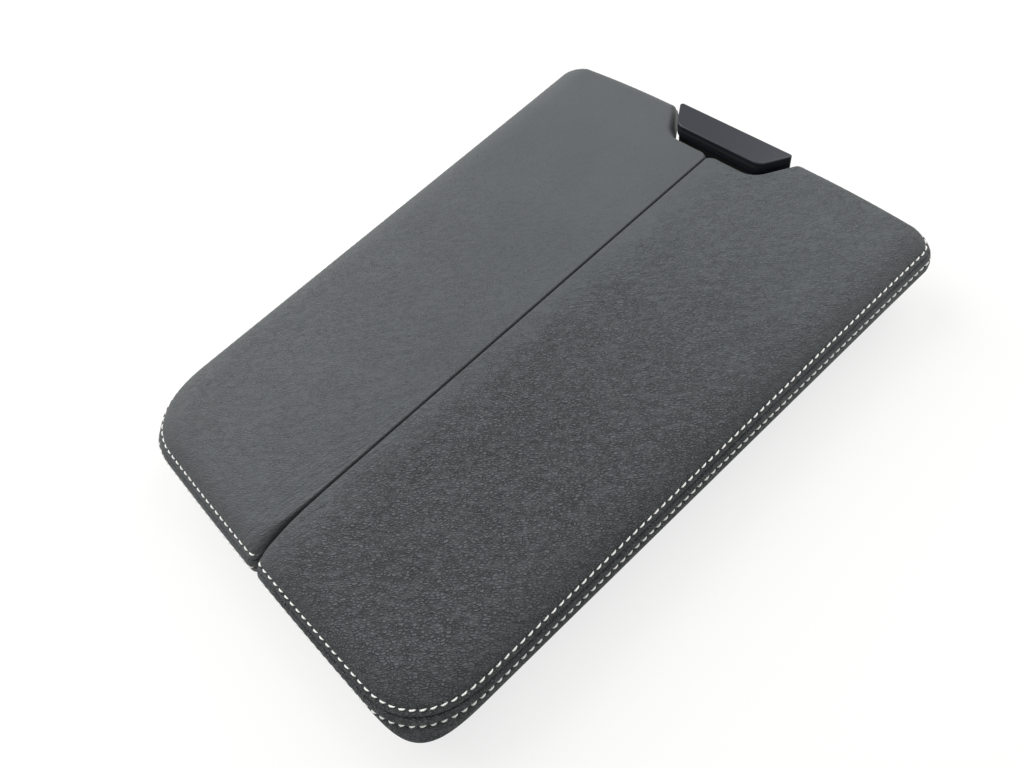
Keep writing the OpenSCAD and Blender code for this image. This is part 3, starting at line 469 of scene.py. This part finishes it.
def make_piece(name, points, faces, material, uv=None):
    """A mesh object from points in millimetres and rows of point numbers; uv holds a pair for each point."""
    mesh = bpy.data.meshes.new(name)
    mesh.from_pydata((points * MM).tolist(), [], [row for block in faces for row in block.tolist()])
    mesh.polygons.foreach_set("use_smooth", np.ones(len(mesh.polygons), bool))
    if uv is not None:
        corners = np.empty(len(mesh.loops), np.int32)
        mesh.loops.foreach_get("vertex_index", corners)
        mesh.uv_layers.new(name="StitchMap").data.foreach_set("uv", uv[corners].astype(np.float32).ravel())
    mesh.materials.append(material)
    mesh.update()
    piece = bpy.data.objects.new(name, mesh)
    bpy.context.scene.collection.objects.link(piece)
    return piece


def loft_faces(rows, columns):
    """Quads between neighbouring rings of one grid, closed round the ring."""
    grid = np.arange(rows * columns).reshape(rows, columns)
    ahead = np.roll(grid, -1, axis=1)
    return np.stack([grid[:-1], ahead[:-1], ahead[1:], grid[1:]], -1).reshape(-1, 4)


def closed_loft(rings):
    """Points and outward faces of stacked rings, (rows, columns, 3), each end closed to its middle point."""
    rows, columns = rings.shape[:2]
    points = np.concatenate([rings.reshape(-1, 3), [rings[0].mean(0)], [rings[-1].mean(0)]])
    grid = np.arange(rows * columns).reshape(rows, columns)
    ahead = np.roll(grid, -1, axis=1)
    low = np.full(columns, rows * columns)
    bottom = np.stack([ahead[0], grid[0], low], -1)
    top = np.stack([grid[-1], ahead[-1], low + 1], -1)
    return points, [loft_faces(rows, columns), bottom, top]


def mirrored(points, faces):
    """The same closed surface across the middle plane, with its faces turned to point outwards again."""
    return points * [-1, 1, 1], [block[:, ::-1] for block in faces]


def unit(v):
    """Vectors brought to length 1."""
    return v / np.linalg.norm(v, axis=-1, keepdims=True)


def smooth_step(share):
    """0 to 1 with level ends."""
    return share * share * (3 - 2 * share)


def bell(distance, width):
    """1 at the middle, falling off by a bell curve."""
    return np.exp(-(distance / width) ** 2)


def swelling(t, start, end):
    """0 outside a stretch and a round hump over it."""
    hump = np.sin(np.pi * np.clip((t - start) / (end - start), 0, 1)) ** 0.8
    return np.where((t > start) & (t < end), hump, 0)


def power_arc(t, power):
    """How far a rounded corner still is from its side: 1 - t ** (2 / power) for a cosine or sine t."""
    return 1 - np.clip(t, 0, 1) ** (2 / power)


def fillet(a, b, c, radius, count):
    """Arc of a radius that rounds corner b of the path a, b, c: the centre lies on the bisector."""
    a, b, c = (np.asarray(p, float) for p in (a, b, c))
    u, v = unit(a - b), unit(c - b)
    half = math.acos(float(np.clip(u @ v, -1, 1))) / 2
    centre = b + unit(u + v) * radius / math.sin(half)
    start, end = b + u * radius / math.tan(half) - centre, b + v * radius / math.tan(half) - centre
    first, last = (math.atan2(p[1], p[0]) for p in (start, end))
    sweep = (last - first + math.pi) % (2 * math.pi) - math.pi
    angles = first + sweep * np.linspace(0, 1, count)
    return centre + radius * np.stack([np.cos(angles), np.sin(angles)], -1)


# Lid outline

def half_width(y):
    """X of the outer side."""
    return HALF_REAR + (HALF_FRONT - HALF_REAR) * (y - REAR_Y) / LID_LENGTH


def rear_edge(x):
    """Y of the rear edge, bowed by a square law."""
    return REAR_Y + REAR_BOW * (x / HALF_REAR) ** 2


def split_roll(y):
    """Roll width along the split: it grows towards the rear end by an exponential curve."""
    return ROLL_SPLIT + (ROLL_REAR - ROLL_SPLIT) * np.exp(-(y - REAR_Y) / FLARE)


def bowed(points, start):
    """The front end drawn back by a square law from x = start outwards, less and less behind the front."""
    share = np.clip((points[:, 0] - start) / (HALF_FRONT - start), 0, 1) ** 2
    fade = smooth_step(np.clip((points[:, 1] - FRONT_Y) / BOW_FADE + 1, 0, 1))
    return points - np.stack([np.zeros(len(points)), FRONT_BOW * share * fade], -1)


def nose_corner():
    """Corner at the split's rear end, a superellipse from the split to the rear edge."""
    t = np.radians(np.linspace(0, 90, 60))
    x = SPLIT + NOSE[0] * power_arc(np.cos(t), NOSE[2])
    return np.stack([x, rear_edge(x) + NOSE[1] * power_arc(np.sin(t), NOSE[2])], -1)


def rear_corner(power):
    """Outer rear corner, a superellipse of a power from the rear edge to the outer side."""
    t = np.radians(np.linspace(0, 90, 120))
    y = rear_edge(HALF_REAR - CORNER[0]) + CORNER[1] * power_arc(np.cos(t), power)
    return np.stack([half_width(y) - CORNER[0] * power_arc(np.sin(t), power), y], -1)


def recess_corners():
    """Inner and outer corner of the recess's side, which runs along the button's slanted end."""
    beside = RECESS_SIDE * math.hypot(1, BUTTON_SLOPE)
    return [(BUTTON_HALF_REAR + (y - BUTTON_REAR) * BUTTON_SLOPE + beside, y)
            for y in (BUTTON_REAR - RECESS_GAP, FRONT_Y)]


def lid_outline(columns):
    """Right lid's outline, anticlockwise from the rear end of the split, at even steps of arc length.

    Returns the points (columns, 2), those of the lower edge, the roll width at each, the arc length at each,
    the whole length, and the arc lengths between which the lid is stitched.
    """
    recess_in, recess_out = recess_corners()
    split_front = (SPLIT, recess_in[1])
    outer_front = (HALF_FRONT, FRONT_Y)
    nose = nose_corner()
    x = np.linspace(SPLIT + NOSE[0], HALF_REAR - CORNER[0], 60)
    rear = np.stack([x, rear_edge(x)], -1)
    corner = rear_corner(CORNER[2])
    y = np.linspace(corner[-1, 1], FRONT_Y - FRONT_CORNER_R - 2, 60)
    side = np.stack([half_width(y), y], -1)
    front_corner = fillet((half_width(0), 0), outer_front, recess_out, FRONT_CORNER_R, 60)
    x = np.linspace(front_corner[-1, 0], recess_out[0] + LIP_R + 1, 40)
    front = np.stack([x, np.full(len(x), FRONT_Y)], -1)
    lip = fillet(outer_front, recess_out, recess_in, LIP_R, 30)
    dip = fillet(recess_out, recess_in, split_front, RECESS_R, 40)
    tip = fillet(recess_in, split_front, (SPLIT, 0), LIP_R, 30)
    y = np.linspace(tip[-1, 1], nose[0, 1], 160)
    split = np.stack([np.full(len(y), SPLIT), y], -1)

    # Each stretch with its roll widths: one for each point, or those at its two ends
    parts = [(nose, split_roll(nose[:, 1])), (rear, (ROLL_REAR, ROLL_REAR)), (corner, (ROLL_REAR, ROLL_SIDE)),
             (side, (ROLL_SIDE, ROLL_SIDE)), (front_corner, (ROLL_SIDE, ROLL_FRONT)),
             (front, (ROLL_FRONT, ROLL_FRONT)), (lip, (ROLL_FRONT, ROLL_RECESS)),
             (dip, (ROLL_RECESS, ROLL_RECESS)), (tip, (ROLL_RECESS, ROLL_SPLIT)), (split, split_roll(y))]
    path = np.concatenate([p for p, _ in parts] + [nose[:1]])
    low_corner = rear_corner(LOW_CORNER_POWER)
    low = np.concatenate([low_corner if p is corner else p for p, _ in parts] + [nose[:1]])
    path, low = bowed(path, recess_out[0]), bowed(low, recess_out[0])
    roll = np.concatenate([r if len(r) > 2 else np.linspace(*r, len(p)) for p, r in parts])
    roll = np.append(roll, roll[0])
    length = np.concatenate([[0], np.cumsum(np.hypot(*np.diff(path, axis=0).T))])
    at = length[-1] * np.arange(columns) / columns

    def even(values):
        return np.stack([np.interp(at, length, values[:, i]) for i in range(2)], -1)

    front_end = sum(len(p) for p in (nose, rear, corner, side, front_corner, front))
    stitched = (length[SEWN_FROM], length[front_end + SEWN_PAST])
    return even(path), even(low), np.interp(at, length, roll), at, length[-1], stitched


# Lid surface

def squeeze(points, insets):
    """The outline's box squeezed by insets at the split, the outer side, the rear and the front."""
    width = HALF_FRONT - SPLIT
    x = SPLIT + insets[0] + (points[:, 0] - SPLIT) * (width - insets[0] - insets[1]) / width
    y = REAR_Y + insets[2] + (points[:, 1] - REAR_Y) * (LID_LENGTH - insets[2] - insets[3]) / LID_LENGTH
    return x, y


def wall_ring(outlines, z, inset, lean=0.0, swell=0.0):
    """Level ring of the wall; below the lower stitch row the outline blends into the lower edge's own."""
    upper, lower = outlines
    share = np.clip((z - SKIRT_Z) / (LOW_ROW_Z - SKIRT_Z), 0, 1)
    x, y = squeeze(lower * (1 - share) + upper * share, lean * LEAN + inset - swell * SWELL)
    return np.stack([x, y, np.full(len(x), z)], -1)


def top_ring(points, roll, distance, inside=0.0):
    """Ring of the padded top: the height climbs by a power curve over the roll's width, under a low dome.

    Past a distance the insets along the armrest grow faster, so that the rings close on the lid's middle.
    """
    along = distance + max(0.0, distance - CLOSE_FROM) * CLOSE_RATE
    x, y = squeeze(points, LEAN + inside + np.array([distance, distance, along, along]))
    share = (1 - (1 - np.minimum(1, distance / roll)) ** ROLL_POWER) ** ROLL_RISE
    from_middle = abs(x - (HALF_FRONT + SPLIT) / 2) / DOME_HALF[0]
    dome = (1 - np.clip(from_middle, 0, 1) ** 2) * (1 - np.clip(abs(y) / DOME_HALF[1], 0, 1) ** 4)
    return np.stack([x, y, STITCH_Z + CROWN * share + DOME * dome * share - inside], -1)


def outer_rings(outlines, roll):
    """Rings of the plain outer skin: under the hem, round the lower edge, up the wall and over the top."""
    under = [wall_ring(outlines, SKIRT_Z, inset) for inset in UNDER_INSETS]
    arc = np.linspace(0, math.pi / 2, EDGE_STEPS + 1)[:-1]
    edge = [wall_ring(outlines, SKIRT_Z + EDGE_HEIGHT * (1 - math.cos(a)), 1 - math.sin(a), 0, math.sin(a))
            for a in arc]
    wall = []
    for t in LOW_STEPS:
        up = max(0.0, t / WALL)
        z = LOW_ROW_Z + (t if t < 0 else up * (STITCH_Z - LOW_ROW_Z))
        wall.append(wall_ring(outlines, z, 0.0, up ** LEAN_POWER, min(1.0, max(0.0, -t / EDGE_HEIGHT))))
    top = [top_ring(outlines[0], roll, distance) for distance in TOP_STEPS]
    return np.array(under + edge + wall + top)


def inner_rings(outlines, roll):
    """Rings of the inner skin, one leather inside the outer skin, from the top's middle to the hem."""
    rings = [top_ring(outlines[0], roll, distance, LEATHER) for distance in INNER_STEPS]
    rings += [wall_ring(outlines, z, LEATHER, lean) for z, lean in ((STITCH_Z, 1.0), (LOW_ROW_Z, 0.0))]
    rings += [wall_ring(outlines, SKIRT_Z + LEATHER, inset) for inset in (LEATHER + 0.6, HEM)]
    return np.array(rings)


def sewn_relief(t, at, span, puff):
    """How far the sewn leather stands off the plain skin, at leather lengths t from the lower row, (rows, 1).

    Bell-shaped troughs run along both rows and are deepest at the needle holes. The leather swells between
    the rows, and has a sharp crease at the seam with a welt below it. Each hole pulls in the leather beyond
    its row, less and less by an exponential curve. All of it fades out past the ends of the sewing.
    """
    first, last, pitch = span
    low, high = t, t - WALL
    hole = np.exp(-(((at - first) / pitch + 0.5) % 1 - 0.5) ** 2 / HOLE_SPREAD)
    relief = puff * (swelling(t, 0, SEAM) + swelling(t, SEAM, WALL) * 0.9)
    relief = relief - LOW_TROUGH[0] * bell(low, LOW_TROUGH[1]) * (0.5 + 0.5 * hole)
    relief = relief - HIGH_TROUGH[0] * bell(high, HIGH_TROUGH[1]) * (0.55 + 0.45 * hole)
    relief = relief - SEAM_CREASE[0] * np.exp(-abs(t - SEAM) / SEAM_CREASE[1])
    relief = relief + SEAM_WELT[0] * bell(t - SEAM + WELT_DROP, SEAM_WELT[1])
    relief = relief - LOW_PULL[0] * hole * np.exp(-np.clip(-low, 0, None) / LOW_PULL[1]) * (low < 0)
    relief = relief - HIGH_PULL[0] * hole * np.exp(-np.clip(high, 0, None) / HIGH_PULL[1]) * (high > 0)
    sewn = np.clip(np.minimum(at - first, last - at) / SEWING_FADE + 1, 0, 1)
    return relief * smooth_step(sewn)


def ripples(points, seed, waves=14, longest=70.0, shortest=26.0):
    """Soft unevenness of the padding: the mean of sine waves of mixed directions and lengths."""
    draw = np.random.default_rng(seed)
    angle, phase = draw.uniform(0, math.pi, waves), draw.uniform(0, 2 * math.pi, waves)
    number = 2 * math.pi / draw.uniform(shortest, longest, waves)
    direction = np.stack([np.cos(angle), np.sin(angle)], 0) * number
    return np.sin(points[..., :2] @ direction + phase).mean(-1)


def lid_surface(look, seed, columns=1200):
    """Closed leather skin of the right lid: an outer grid of rings, hem to crown, over a plainer inner one.

    The outer rings are moved along the surface's normal by the relief of the sewing and, on the top, by
    ripples. Returns all rings, each stitch row's points and normals, the arc lengths, the whole length, and
    the sewing's span: its first and last arc length and its pitch.
    """
    upper, lower, roll, at, length, (first, last) = lid_outline(columns)
    outer = outer_rings((upper, lower), roll)
    around = np.roll(outer, -1, 1) - np.roll(outer, 1, 1)
    normal = unit(np.cross(around, np.gradient(outer, axis=0)))
    # Rings below the wall lie beyond the reach of the relief
    below_wall = -6.0 - np.arange(BELOW_WALL)[::-1]
    t = np.concatenate([below_wall, LOW_STEPS, WALL + np.array(TOP_STEPS)])[:, None]
    span = first, last, (last - first) / round((last - first) * MM / look.pitch)
    on_top = np.clip((t - WALL - RIPPLE_START) / RIPPLE_FADE, 0, 1)
    shift = sewn_relief(t, at, span, look.puff / MM) + ripples(outer, seed) * RIPPLE * on_top
    outer = outer + shift[..., None] * normal
    rows = (outer[ROW_LOW], normal[ROW_LOW]), (outer[ROW_HIGH], normal[ROW_HIGH])
    return np.concatenate([inner_rings((upper, lower), roll), outer]), rows, at, length, span


def along_row(values, where, at, length):
    """A row's values read at arc lengths, with the row closed round the lid."""
    return np.stack([np.interp(where, np.append(at, length), np.append(v, v[0])) for v in values.T], -1)


def stitch_surfaces(row, at, length, span, thread, width, slant, hook, rise):
    """One stitch after another along a row: a round thread bowed above the leather, its ends in the holes.

    A stitch is a ring of points carried along the row's curve. Its height follows a flat-topped arch, higher
    than the plain bow by rise. It crosses the row by slant from end to end, and by hook more towards its far
    end, by a cube law. The thread's thickness is multiplied by width.
    """
    place, normal = row
    first, last, pitch = span
    count = int(round((last - first) / pitch))
    rings, sides = 9, 8
    share = np.linspace(0, 1, rings)
    start = first + pitch * (np.arange(count) + HOLE_SHARE)
    s = start[:, None] + pitch * (1 - 2 * HOLE_SHARE) * share
    centre, out = along_row(place, s, at, length), unit(along_row(normal, s, at, length))
    along = unit(along_row(place, s + 0.4, at, length) - along_row(place, s - 0.4, at, length))
    over = unit(np.cross(out, along))
    lift = (STITCH_BOW + rise) * (1 - abs(2 * share - 1) ** 3.2) - STITCH_SINK
    lean = slant * (share - 0.5) + hook * share ** 3
    centre = centre + out * lift[None, :, None] + over * lean[None, :, None]
    radius = thread * width / 2 * (0.4 + 0.6 * (1 - abs(2 * share - 1) ** 2.6))
    angle = np.arange(sides) * 2 * math.pi / sides
    ring = (out[:, :, None] * np.cos(angle)[None, None, :, None]
            + over[:, :, None] * np.sin(angle)[None, None, :, None])
    points = centre[:, :, None] + ring * radius[None, :, None, None]
    wrap = np.broadcast_to(np.arange(sides) / sides, (count, rings, sides))
    run = np.broadcast_to(share[None, :, None], (count, rings, sides))
    offset = (np.arange(count) * rings * sides)[:, None, None]
    quads = (loft_faces(rings, sides)[:, ::-1][None] + offset).reshape(-1, 4)
    ends = np.stack([np.arange(sides), (rings - 1) * sides + np.arange(sides)[::-1]])
    caps = (ends[None] + offset).reshape(-1, sides)
    return points.reshape(-1, 3), quads, caps, np.stack([run, wrap], -1).reshape(-1, 2)


def stitch_rows(rows, at, length, span, thread):
    """Points, faces and map of both rows of stitches in one surface."""
    low, high = (stitch_surfaces(row, at, length, span, thread, **style)
                 for row, style in zip(rows, (LOW_ROW, HIGH_ROW)))
    shift = len(low[0])
    faces = [low[1], high[1] + shift, low[2], high[2] + shift]
    return np.concatenate([low[0], high[0]]), faces, np.concatenate([low[3], high[3]])


# Button surface

def button_outline(outset, count=28):
    """Trapezoid outline of the button moved outwards, with round rear corners, anticlockwise."""
    slant = math.hypot(1, BUTTON_SLOPE)
    front, rear = BUTTON_FRONT + outset, BUTTON_REAR - outset
    half_front = BUTTON_HALF_FRONT + outset * (slant + BUTTON_SLOPE)
    half_rear = BUTTON_HALF_REAR + outset * (slant - BUTTON_SLOPE)
    corners = [(-half_front, front), (-half_rear, rear), (half_rear, rear), (half_front, front)]
    radii = [BUTTON_TIP_R + outset, BUTTON_CORNER_R + outset, BUTTON_CORNER_R + outset, BUTTON_TIP_R + outset]
    arcs = [fillet(corners[i - 1], corners[i], corners[(i + 1) % 4], radii[i], count) for i in range(4)]
    straights = [arcs[i][-1] + (arcs[(i + 1) % 4][0] - arcs[i][-1]) * np.linspace(0, 1, 14)[1:-1, None]
                 for i in range(4)]
    return np.concatenate([part for pair in zip(arcs, straights) for part in pair])


def button_surface():
    """Button cap: its outline stacked from the skirt's lower end over a bevelled upper edge to the flat top.

    Inside the bevel's end the outline shrinks towards the plate's middle.
    """
    low = BUTTON_T - BUTTON_SKIRT
    skirt = [(-6.0, low), (-1.2, low), (-0.25, low), (0.0, low + 0.25), (0.0, low + 1.3)]
    bevel = [(0.0, -1.4), (0.0, -0.62), (-0.02, -0.5), (-0.1, -0.38), (-0.38, -0.1), (-0.5, -0.02)]
    top = [(outset, BUTTON_T) for outset in (-0.62, BUTTON_BEVEL_END, -3.5, -7.0)]
    levels = skirt + [(outset, BUTTON_T + z) for outset, z in bevel] + top
    middle = np.array([0, (BUTTON_FRONT + BUTTON_REAR) / 2])
    rings = []
    for outset, z in levels:
        edge = button_outline(max(outset, BUTTON_BEVEL_END))
        shrink = 1 + min(0.0, outset - BUTTON_BEVEL_END) / BUTTON_CLOSE
        edge = middle + (edge - middle) * shrink
        rings.append(np.column_stack([edge, np.full(len(edge), BUTTON_TOP - BUTTON_T + z)]))
    return closed_loft(np.array(rings))


# Stage

def lay_floor(look):
    """Pale floor plane under the armrest."""
    sides = ((-1, -1), (1, -1), (1, 1), (-1, 1))
    corners = np.array([[x * FLOOR_HALF, y * FLOOR_HALF, FLOOR_Z] for x, y in sides])
    make_piece("floor", corners, [np.array([[0, 1, 2, 3]])], floor_finish(look.floor))


def soft_lamp(name, place, size, power):
    """Square soft light aimed at the middle of the armrest."""
    lamp = bpy.data.lights.new(name, "AREA")
    lamp.size, lamp.energy = size, power
    light = bpy.data.objects.new(name, lamp)
    aim = (Vector(LAMP_AIM) - Vector(place)).to_track_quat("-Z", "Y")
    light.matrix_world = Matrix.Translation(place) @ aim.to_matrix().to_4x4()
    bpy.context.scene.collection.objects.link(light)


def set_camera(scene):
    """Camera at the place and with the axes that were fitted to the photograph."""
    lens = bpy.data.cameras.new("camera")
    lens.lens, lens.sensor_width, lens.sensor_fit = CAMERA_LENS, CAMERA_SENSOR, "HORIZONTAL"
    lens.clip_start, lens.clip_end = CAMERA_CLIP
    camera = bpy.data.objects.new("camera", lens)
    turn = Matrix((CAMERA_RIGHT, CAMERA_UP, CAMERA_BACK)).transposed()
    camera.matrix_world = Matrix.Translation(CAMERA_PLACE) @ turn.to_4x4()
    scene.collection.objects.link(camera)
    scene.camera = camera


class ARMREST_OT_finishes(bpy.types.Operator):
    """Gives each CAD piece the finish of its material slot."""

    bl_idname = "armrest.finishes"
    bl_label = "Finish the hardware"

    def execute(self, context):
        look = context.scene.armrest_hardware
        finishes = {
            "leather": plastic_finish("leather lining", (0.04, 0.042, 0.043), 0.6),
            "foam": foam_finish(),
            "frame_plastic": plastic_finish("frame plastic", look.plastic, 0.5),
            "liner_plastic": plastic_finish("liner plastic", look.liner, 0.58, 0.0001, 0.9),
            "button_finish": plastic_finish("button paint", look.button, 0.42),
            "nylon": plastic_finish("nylon", look.nylon, 0.42, 0.00002),
            "zinc_steel": metal_finish("zinc-plated steel", look.steel, 0.38),
            "spring_steel": metal_finish("spring steel", shaded(look.steel, 0.6), 0.32),
            "bumper_rubber": plastic_finish("bumper rubber", (0.012, 0.012, 0.012), 0.8),
        }
        for part in frame["record"]["subparts"]:
            mesh = frame["nodes"][part["node"]].data
            mesh.materials.clear()
            mesh.materials.append(finishes[part["material_slot"]])
        return {"FINISHED"}


class ARMREST_OT_lids(bpy.types.Operator):
    """Covers both lids in leather and sews the two rows of stitches along their outer edges."""

    bl_idname = "armrest.lids"
    bl_label = "Cover and sew the lids"

    def execute(self, context):
        look = context.scene.armrest_leather
        leather = leather_finish(look)
        thread = thread_finish(look)
        for side, seed in (("right", 3), ("left", 8)):
            rings, rows, at, length, span = lid_surface(look, seed)
            points, faces = closed_loft(rings)
            thread_points, thread_faces, uv = stitch_rows(rows, at, length, span, look.thread_width / MM)
            if side == "left":
                points, faces = mirrored(points, faces)
                thread_points, thread_faces = mirrored(thread_points, thread_faces)
            cover = make_piece(side + "_lid_leather", points, faces, leather)
            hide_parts(side + "_cover")
            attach(cover, side + "_lid")
            stitches = make_piece(side + "_lid_stitches", thread_points, thread_faces, thread, uv)
            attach(stitches, side + "_lid")
        return {"FINISHED"}


class ARMREST_OT_button(bpy.types.Operator):
    """Makes the button's satin plate with its rounded upper edge."""

    bl_idname = "armrest.button"
    bl_label = "Make the button plate"

    def execute(self, context):
        points, faces = button_surface()
        plate = make_piece("button_cap", points, faces, button_finish(context.scene.armrest_hardware.button))
        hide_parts("button_plate")
        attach(plate, "button")
        return {"FINISHED"}


class ARMREST_OT_stage(bpy.types.Operator):
    """Sets the pale floor, the soft lights and the camera."""

    bl_idname = "armrest.stage"
    bl_label = "Set the stage"

    def execute(self, context):
        scene = context.scene
        look = scene.armrest_stage
        scene.view_settings.view_transform = "Standard"
        lay_floor(look)
        sky_light(look.sky)
        for name, (place, size) in LAMPS.items():
            soft_lamp(name, place, size, getattr(look, name + "_power"))
        set_camera(scene)
        return {"FINISHED"}


class ARMREST_PT_panel(bpy.types.Panel):
    """Lists the armrest's sizes, colours and steps."""

    bl_idname = "ARMREST_PT_panel"
    bl_label = "Armrest"
    bl_space_type = "VIEW_3D"
    bl_region_type = "UI"
    bl_category = "Armrest"

    def draw(self, context):
        for group_name, kind in GROUPS.items():
            box = self.layout.box()
            for name in kind.__annotations__:
                box.prop(getattr(context.scene, group_name), name)
        for step in STEPS:
            self.layout.operator(step.bl_idname)


STEPS = (ARMREST_OT_finishes, ARMREST_OT_lids, ARMREST_OT_button, ARMREST_OT_stage)
GROUPS = {"armrest_leather": LeatherLook, "armrest_hardware": HardwareLook, "armrest_stage": StageLook}


def register():
    for made in (*GROUPS.values(), *STEPS, ARMREST_PT_panel):
        bpy.utils.register_class(made)
    for name, group in GROUPS.items():
        setattr(bpy.types.Scene, name, bpy.props.PointerProperty(type=group))


def unregister():
    for name in GROUPS:
        delattr(bpy.types.Scene, name)
    for made in (ARMREST_PT_panel, *reversed(STEPS), *reversed(GROUPS.values())):
        bpy.utils.unregister_class(made)


def main():
    register()
    bpy.ops.armrest.finishes()
    bpy.ops.armrest.lids()
    bpy.ops.armrest.button()
    bpy.ops.armrest.stage()


if __name__ == "__main__":
    main()
